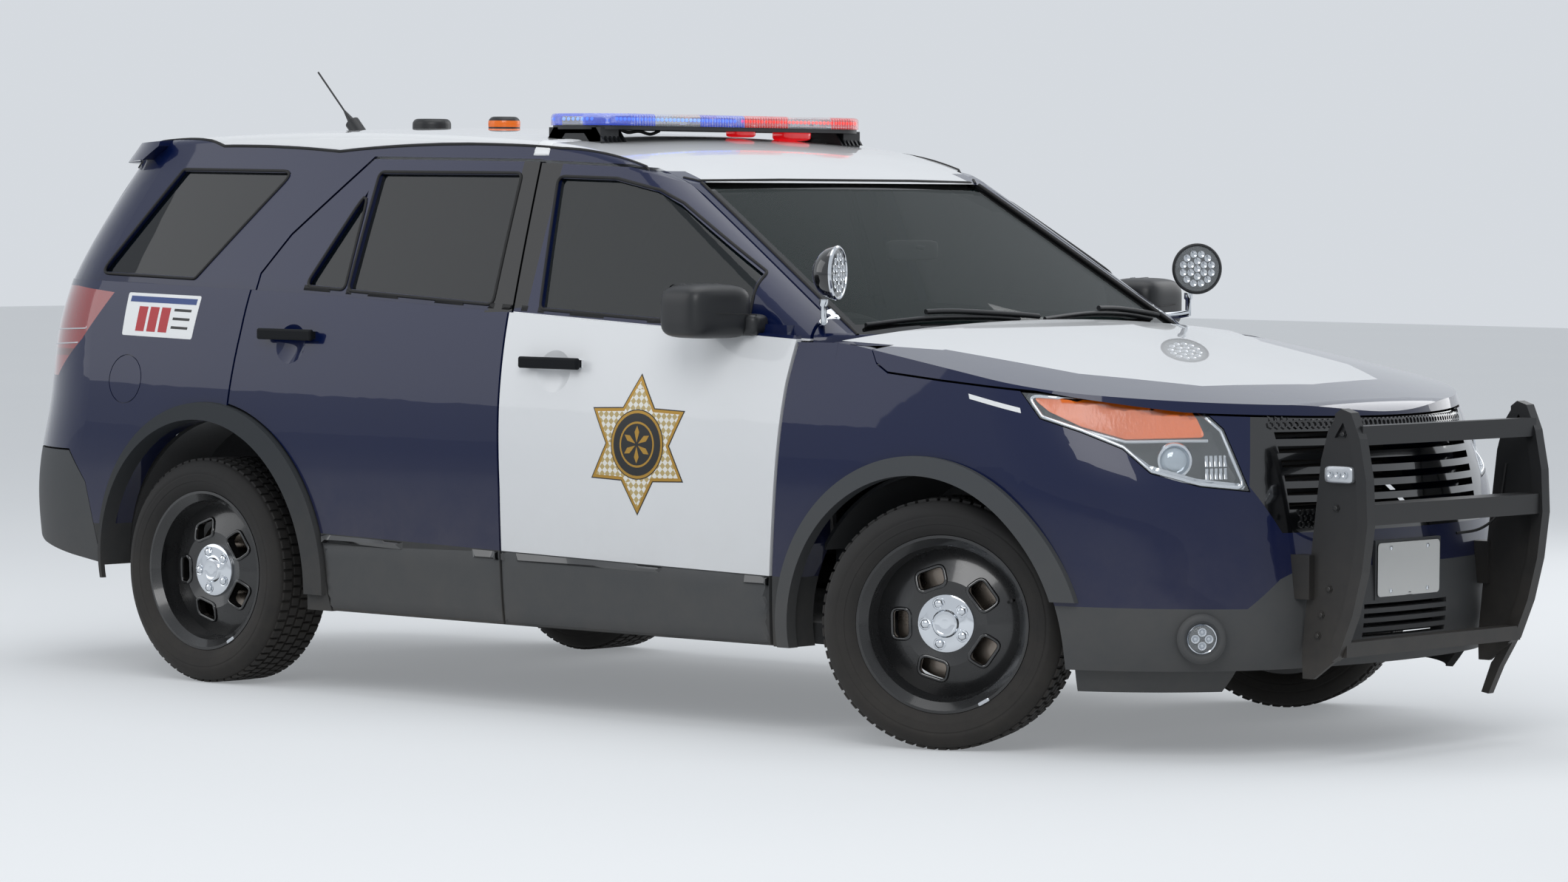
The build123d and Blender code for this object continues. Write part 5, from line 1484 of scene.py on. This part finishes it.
class SUV_OT_light_bar(SuvStep, bpy.types.Operator):
    """Adds the light bar's diode modules, braces, straps, pods and wire"""

    bl_idname = "suv.light_bar"
    bl_label = "Roof light bar"

    def execute(self, context):
        f = FINISHES
        x = LIGHT_BAR_X
        deck = rounded([(-138, -598), (138, -598), (138, 598), (-138, 598)], 96, 10)
        n = len(deck)
        verts = [Vector((u * s, v * s, z)) * MM for s, z in ((0.985, 0), (0.985, 4)) for u, v in deck]
        faces = [[k, (k + 1) % n, n + (k + 1) % n, n + k] for k in range(n)] + [list(range(n))[::-1],
                                                                                list(range(n, 2 * n))]
        add_piece("light_bar_deck", *moved((verts, faces), shift(x, 0, 1.727)), f["trim"], "body")
        diode = lathe([(0, 0), (5, 0), (5.5, 2), (3.5, 4.5), (0, 5.2)], 10)
        count = 5
        for end, side in (("front", 1), ("rear", -1)):
            for hand, start, hue in (("right", -0.508, "blue_diode"), ("left", 0.060, "red_diode")):
                modules = grow(SHAPES["row"], block((22, 92, 20), 3.0, 0.75), f["reflector"], Columns=1, Rows=count,
                               Row_Pitch=0.112)
                place = shift(x + side * 0.116, start, 1.744)
                add_piece(f"light_bar_modules_{end}_{hand}", *moved(modules, place), f["reflector"], "body")
                dot = moved(diode, turn_about("Y", side * 90))
                dots = grow(SHAPES["row"], dot, f[hue], Columns=1, Rows=count * 6, Row_Pitch=0.0184)
                place = shift(x + side * 0.127, start - 0.046, 1.745)
                add_piece(f"light_bar_diodes_{end}_{hand}", *moved(dots, place), f[hue], "body")
        for hand, y, hue in (("right", -0.585, "blue_diode"), ("left", 0.585, "red_diode")):
            dot = moved(diode, turn_about("X", math.copysign(90, -y)))
            dots = grow(SHAPES["row"], dot, f[hue], Columns=7, Rows=1, Column_Pitch=0.019)
            place = shift(x - 0.057, y, 1.745)
            add_piece(f"light_bar_end_diodes_{hand}", *moved(dots, place), f[hue], "body")
        # A brace under each end, ribbed like a moulded bracket
        brace = [(-118, 1), (-84, 46), (84, 46), (118, 1), (60, 1), (38, 26), (-38, 26), (-60, 1)]
        ribs = []
        for k in range(6):
            y = -0.505 - 0.019 * k
            verts = [Vector((x + u * MM, y + dy, 1.676 + v * MM)) for dy in (0, 0.007) for u, v in brace]
            faces = [[i, (i + 1) % 8, 8 + (i + 1) % 8, 8 + i] for i in range(8)]
            faces += [list(range(7, -1, -1)), list(range(8, 16))]
            ribs.append((verts, faces))
        add_piece("light_bar_brace_right", *gather(*ribs), f["trim"], "body", pair=True)
        top = Skin(from_above, "body_side_right", "roof_panel", reach=5)
        strap = ribbon([(-1634, -560), (-1634, -640), (-1634, -700), (-1634, -741)], 62)
        patch("light_bar_strap_right", top, strap, f["vinyl"], "body", lift=2.6, edge=2, step=12, pair=True)
        side = Skin(from_right, "body_side_right", "roof_panel", reach=4)
        patch("light_bar_strap_hook_right", side, ribbon([(-1634, 1652), (-1634, 1634)], 62), f["vinyl"], "body",
              lift=2.8, edge=2, step=8, pair=True)
        for hand, size, crown, y, z in (("left", (70, 130, 38), 4, 0.33, 1.708),
                                        ("middle", (60, 90, 30), 3, 0.09, 1.712)):
            pod = moved(rounded_box(size, 0.4, crown, 8), shift(x + 0.055, y, z))
            add_piece(f"light_bar_pod_{hand}", *pod, f["red_glow"], "body")
        wire = smooth_path([Vector((x + 0.06, y * MM, z * MM)) for y, z in (
            (-470, 1716), (-430, 1706), (-380, 1710), (-330, 1702), (-290, 1712))])
        add_piece("light_bar_wire", *tube(wire, 5, f["rubber"]), f["rubber"], "body", angle=60)
        ring = lathe([(50.2, 0), (51, 3), (51, 17), (50.2, 20), (48, 20), (48, 0), (50.2, 0)], 48)
        # The amber band's faint glow is painted light, not a lamp.
        add_piece("roof_dome_band", *moved(ring, place_at(-2498, 0, 1.729)), f["amber"], "body")
        return {"FINISHED"}


class SUV_OT_rear(SuvStep, bpy.types.Operator):
    """Adds the blank rear plate, lamp lines, gate trim, step pad and wiper"""

    bl_idname = "suv.rear"
    bl_label = "Rear details"

    def execute(self, context):
        f = FINISHES
        plate_set("rear_plate", place_at(-3995.5, 0, 0.850) @ FACING_BACK, "liftgate")
        back = Skin(from_behind, "liftgate", "liftgate_glass", reach=6)
        patch("gate_handle_strip", back, ribbon([(-300, 968), (0, 972), (300, 968)], 40), f["gloss"], "liftgate",
              lift=9, edge=9, step=18)
        bead("gate_glass_seal", back, rounded([(-580, 1257), (580, 1257), (546, 1588), (-546, 1588)], 40), 6,
             f["rubber"], "liftgate", closed=True, rise=1.5)
        blade = smooth_path(drape([(-20, 1290, 12), (-150, 1300, 12), (-300, 1306, 12)], back), 8)
        arm = smooth_path(drape([(0, 1268, 16), (-60, 1284, 20), (-160, 1304, 17)], back), 8)
        add_piece("rear_wiper", *gather(tube(blade, 5.5, f["rubber"]), tube(arm, 6.5, f["trim"])), f["trim"],
                  "liftgate", angle=60)
        pad = Skin(from_above, "bumper_rear", reach=5)
        rib = grow(SHAPES["row"], block((7, 760, 5), 1.4), f["cladding"], Columns=4, Rows=1, Column_Pitch=0.014)
        flat = [(p.x / MM - 3985, p.y / MM, p.z / MM + 1) for p in rib[0]]
        add_piece("rear_step_ribs", drape(flat, pad), rib[1], f["cladding"], "body")
        bar = Skin(from_behind, "bumper_rear", reach=6)
        patch("rear_reflector_right", bar, rounded([(-760, 560), (-640, 560), (-640, 588), (-760, 588)], 10),
              f["red_lens"], "body", lift=4, edge=4, step=14, pair=True)
        lamp = Skin(from_right, "tail_lamp_right", reach=5)
        for k, (a, b) in enumerate((((-3420, 1085), (-3800, 1070)), ((-3440, 1040), (-3810, 1022)))):
            bead(f"tail_lamp_line_{k + 1}_right", lamp, [a, b], 2.2, f["bezel"], "body", rise=0.4, step=18, pair=True)
        return {"FINISHED"}


class SUV_OT_markings(SuvStep, bpy.types.Operator):
    """Adds a plain six-point star, a white sticker with bars and a plain stripe"""

    bl_idname = "suv.markings"
    bl_label = "Plain markings"

    def execute(self, context):
        f = FINISHES
        door = Skin(from_right, "door_front_right", reach=9)
        body = "door_front_right"
        film = dict(sunk=0.4, step=22, pair=True)
        layers = (("star_edge", star(BADGE, 204, 0.60), "vinyl_black", 0.5),
                  ("star_gold", star(BADGE, 198, 0.60), "gold", 0.9),
                  ("star_field", star(BADGE, 182, 0.60), "star_field", 1.2),
                  ("disc_edge", disc(BADGE, 101), "vinyl_black", 1.5),
                  ("disc_gold", disc(BADGE, 98), "gold", 1.8), ("disc_ring", disc(BADGE, 90), "vinyl_black", 2.1),
                  ("disc_line", disc(BADGE, 66), "gold", 2.4), ("disc_middle", disc(BADGE, 60), "vinyl_black", 2.7))
        for name, outline, look, lift in layers:
            patch(f"door_{name}_right", door, outline, f[look], body, lift=lift, **film)
        for k in range(6):
            t = math.radians(60 * k + 90)
            at = (BADGE[0] + 28 * math.cos(t), BADGE[1] + 28 * math.sin(t))
            leaf = [(at[0] + math.cos(t) * a - math.sin(t) * b, at[1] + math.sin(t) * a + math.cos(t) * b)
                    for a, b in ((26, 0), (8, 9), (-22, 0), (8, -9))]
            patch(f"door_leaf_{k + 1}_right", door, leaf, f["gold"], body, lift=3.0, sunk=0.4, step=20, pair=True)
        side = Skin(from_right, "body_side_right", reach=9)
        sticker = rounded([(-3279, 1200), (-2933, 1194), (-2945, 1060), (-3276, 1067)], 8)
        patch("quarter_sticker_right", side, sticker, f["vinyl"], "body", lift=0.9, **film)
        bars = (("blue", [(-3262, 1190), (-2948, 1184), (-2950, 1166), (-3263, 1172)]),
                ("red", [(-3214, 1158), (-3172, 1157), (-3176, 1080), (-3216, 1081)]),
                ("red", [(-3160, 1157), (-3118, 1156), (-3122, 1079), (-3163, 1080)]),
                ("red", [(-3106, 1156), (-3064, 1155), (-3068, 1078), (-3109, 1079)]),
                ("black", [(-3046, 1153), (-2966, 1151), (-2967, 1143), (-3047, 1145)]),
                ("black", [(-3047, 1126), (-2968, 1124), (-2969, 1116), (-3048, 1118)]),
                ("black", [(-3049, 1099), (-2971, 1097), (-2972, 1089), (-3050, 1091)]))
        for k, (hue, outline) in enumerate(bars):
            patch(f"quarter_bar_{k + 1}_right", side, outline, f[f"vinyl_{hue}"], "body", lift=1.3, **film)
        wing = Skin(from_right, "fender_right", "bumper_front_upper", "headlamp_right", "hood", reach=9)
        stripe = [(160, 986), (330, 952), (335, 938), (165, 972)]
        patch("fender_stripe_right", wing, stripe, f["vinyl"], "body", lift=0.9, sunk=0.4, step=16, pair=True)
        return {"FINISHED"}


class SUV_OT_wipers(SuvStep, bpy.types.Operator):
    """Adds the two windshield wipers with their arms"""

    bl_idname = "suv.wipers"
    bl_label = "Wipers"

    def execute(self, context):
        f = FINISHES
        glass = Skin(from_front, "windshield", "bulkhead", reach=6)
        for tag, blade, arm in (
            ("right", ((-690, 1150), (-439, 1166), (-200, 1166), (-60, 1158)),
             ((20, 1156), (-60, 1162), (-300, 1174), (-430, 1174))),
            ("left", ((60, 1158), (300, 1170), (500, 1166), (640, 1150)),
             ((670, 1150), (600, 1160), (480, 1172), (374, 1175))),
        ):
            low = smooth_path(drape([(u, v, 9) for u, v in blade], glass), 8)
            high = smooth_path(drape([(u, v, 20) for u, v in arm], glass), 8)
            edge = smooth_path(drape([(u, v, 3) for u, v in blade], glass), 8)
            parts = gather(tube(low, 6, f["rubber"]), tube(high, 8, f["trim"]), tube(edge, 3, f["rubber"]))
            add_piece(f"wiper_{tag}", *parts, f["trim"], "body", angle=60)
        return {"FINISHED"}


class SUV_OT_seats(SuvStep, bpy.types.Operator):
    """Builds the padded front seats and rear bench in woven cloth with piping"""

    bl_idname = "suv.seats"
    bl_label = "Seats"

    def execute(self, context):
        f = FINISHES

        def pad(name, size, corner, crown, place, node, fill=0.6):
            part = moved(rounded_box(size, corner, crown, 14), place)
            made = add_piece(name, *part, f["cloth"], "body", stands_for=(node,))[0]

        def lay(x, y, z, tilt=0.0):
            return place_at(x, y * MM, z * MM) @ turn_about("Y", tilt)

        for y, hand in ((-380, "right"), (380, "left")):
            node = f"seat_front_{hand}"
            pad(f"seat_cushion_front_{hand}", (500, 500, 150), 0.28, 26, lay(-1215, y, 505, -4), node)
            pad(f"seat_back_front_{hand}", (580, 490, 130), 0.28, 24, lay(-1520, y, 865, -78), node)
            pad(f"head_rest_front_{hand}", (150, 230, 74), 0.4, 8, lay(-1604, y, 1212, -86), node)
            loop = [(-236, -236), (236, -236), (236, 236), (-236, 236)]
            line = [lay(-1215, y, 505, -4) @ (Vector((u, v, 30)) * MM) for u, v in rounded(loop, 70, 8)]
            posts = [[lay(-1596, y + s, 1110).translation, lay(-1600, y + s, 1150).translation] for s in (-50, 50)]
            parts = gather(tube(line, 3.5, f["rubber"], closed=True), *[tube(p, 6, f["chrome"]) for p in posts])
            add_piece(f"seat_piping_front_{hand}", *parts, f["rubber"], "body", angle=60)
            base = moved(block((380, 390, 80), 12, 0.92), lay(-1220, y, 375))
            add_piece(f"seat_base_front_{hand}", *base, f["dash"], "body")
        pad("seat_cushion_rear", (440, 1150, 130), 0.2, 22, lay(-2130, 0, 497, -3), "seat_rear")
        pad("seat_back_rear", (540, 1150, 110), 0.2, 20, lay(-2440, 0, 815, -79), "seat_rear")
        for tag, y in (("right", -300), ("middle", 0), ("left", 300)):
            crown = [(u, 60 + 20 * (1 - (u / 220) ** 2)) for u in range(-190, 191, 38)]
            line = [lay(-2130, y, 497, -3) @ (Vector((u, 0, high)) * MM) for u, high in crown]
            add_piece(f"seat_seam_rear_{tag}", *tube(line, 4, f["rubber"]), f["rubber"], "body", angle=60)
        base = moved(block((200, 1100, 110), 10, 0.95), lay(-2110, 0, 373))
        add_piece("seat_base_rear", *base, f["dash"], "body")
        return {"FINISHED"}


class SUV_OT_cabin(SuvStep, bpy.types.Operator):
    """Adds the dash screen, cabin mirror and equipment behind the windshield"""

    bl_idname = "suv.cabin"
    bl_label = "Cabin details"

    def execute(self, context):
        f = FINISHES
        hood = moved(rounded_box((150, 380, 90), 0.3, 6, 10), place_at(-590, 0.38, 1.055))
        add_piece("instrument_hood", *hood, f["dash"], "body")
        screen = moved(rounded_box((24, 250, 170), 0.2, 0, 8), place_at(-690, 0.02, 1.03) @ turn_about("Y", -16))
        add_piece("dash_screen", *screen, f["gloss"], "body")
        mirror = moved(rounded_box((26, 230, 62), 0.35, 0, 8), place_at(-820, 0.0, 1.36))
        stem = tube([Vector((station(-800), 0, 1.37)), Vector((station(-770), 0, 1.366))], 7, f["trim"])
        add_piece("cabin_mirror", *gather(mirror, stem), f["trim"], "body")
        box = moved(rounded_box((110, 90, 60), 0.3, 0, 6), place_at(-575, -0.18, 1.09))
        add_piece("dash_beacon", *box, f["trim"], "body")
        return {"FINISHED"}


class SUV_OT_stage(SuvStep, bpy.types.Operator):
    """Lays the plain pale floor and sets the soft studio light"""

    bl_idname = "suv.stage"
    bl_label = "Floor and light"

    def execute(self, context):
        half = context.scene.suv_sizes.floor / 2
        mesh = bpy.data.meshes.new("floor")
        mesh.from_pydata([(-half, -half, 0), (half, -half, 0), (half, half, 0), (-half, half, 0)], [], [(0, 1, 2, 3)])
        floor = bpy.data.objects.new("floor", mesh)
        context.scene.collection.objects.link(floor)
        # Plain matt studio floor, pale grey.
        mesh.materials.append(floor_paint())
        world = bpy.data.worlds.new("studio")
        world.use_nodes = True
        tree = world.node_tree
        back = tree.nodes["Background"]
        path = tree.nodes.new("ShaderNodeLightPath")
        seen = add(tree, MATH, {0: path.outputs["Is Camera Ray"], 1: path.outputs["Is Transmission Ray"]},
                   operation="MAXIMUM")
        seen = add(tree, MATH, {0: seen, 1: path.outputs["Is Glossy Ray"]}, operation="MAXIMUM")
        level = add(tree, "ShaderNodeMapRange", {0: seen, 3: 0.55, 4: 0.82})
        back.inputs[0].default_value = linear("#e9eef4")
        tree.links.new(level.outputs[0], back.inputs[1])
        context.scene.world = world
        for name, place, size, power in (("key", (5.5, -7.5, 6.5), 5.0, 330.0), ("fill", (-6.0, -6.0, 4.5), 6.0, 110.0),
                                         ("top", (0.0, 0.5, 7.5), 6.5, 170.0), ("rim", (1.0, 7.5, 4.0), 5.0, 130.0)):
            lamp = bpy.data.lights.new(name, "AREA")
            lamp.energy, lamp.size = power, size
            obj = bpy.data.objects.new(name, lamp)
            context.scene.collection.objects.link(obj)
            obj.location = place
            obj.rotation_euler = (Vector((0, 0, 0.8)) - obj.location).to_track_quat("-Z", "Y").to_euler()
        context.scene.view_settings.view_transform = "Standard"
        return {"FINISHED"}


STEPS = (SUV_OT_view, SUV_OT_sheet_metal, SUV_OT_cladding, SUV_OT_headlamps, SUV_OT_front, SUV_OT_push_bumper,
         SUV_OT_wheels,
         SUV_OT_mirrors, SUV_OT_spotlights, SUV_OT_light_bar, SUV_OT_rear, SUV_OT_markings, SUV_OT_wipers, SUV_OT_seats,
         SUV_OT_cabin, SUV_OT_stage)


class SUV_PT_panel(bpy.types.Panel):
    """The steps, sizes and colours of the patrol SUV"""

    bl_idname = "SUV_PT_panel"
    bl_label = "Patrol SUV"
    bl_space_type = "VIEW_3D"
    bl_region_type = "UI"
    bl_category = "Patrol SUV"

    def draw(self, context):
        column = self.layout.column()
        for group in (context.scene.suv_colours, context.scene.suv_sizes):
            for name in group.__annotations__:
                column.prop(group, name)
        for step in STEPS:
            column.operator(step.bl_idname)


CLASSES = (SuvColours, SuvSizes, *STEPS, SUV_PT_panel)


def register():
    for cls in CLASSES:
        bpy.utils.register_class(cls)
    bpy.types.Scene.suv_colours = PointerProperty(type=SuvColours)
    bpy.types.Scene.suv_sizes = PointerProperty(type=SuvSizes)


def unregister():
    del bpy.types.Scene.suv_sizes
    del bpy.types.Scene.suv_colours
    for cls in reversed(CLASSES):
        bpy.utils.unregister_class(cls)


def main():
    register()
    make_shapes()
    make_finishes()
    make_lamp_finishes()
    for step in STEPS:
        group, name = step.bl_idname.split(".")
        getattr(getattr(bpy.ops, group), name)()


if __name__ == "__main__":
    main()
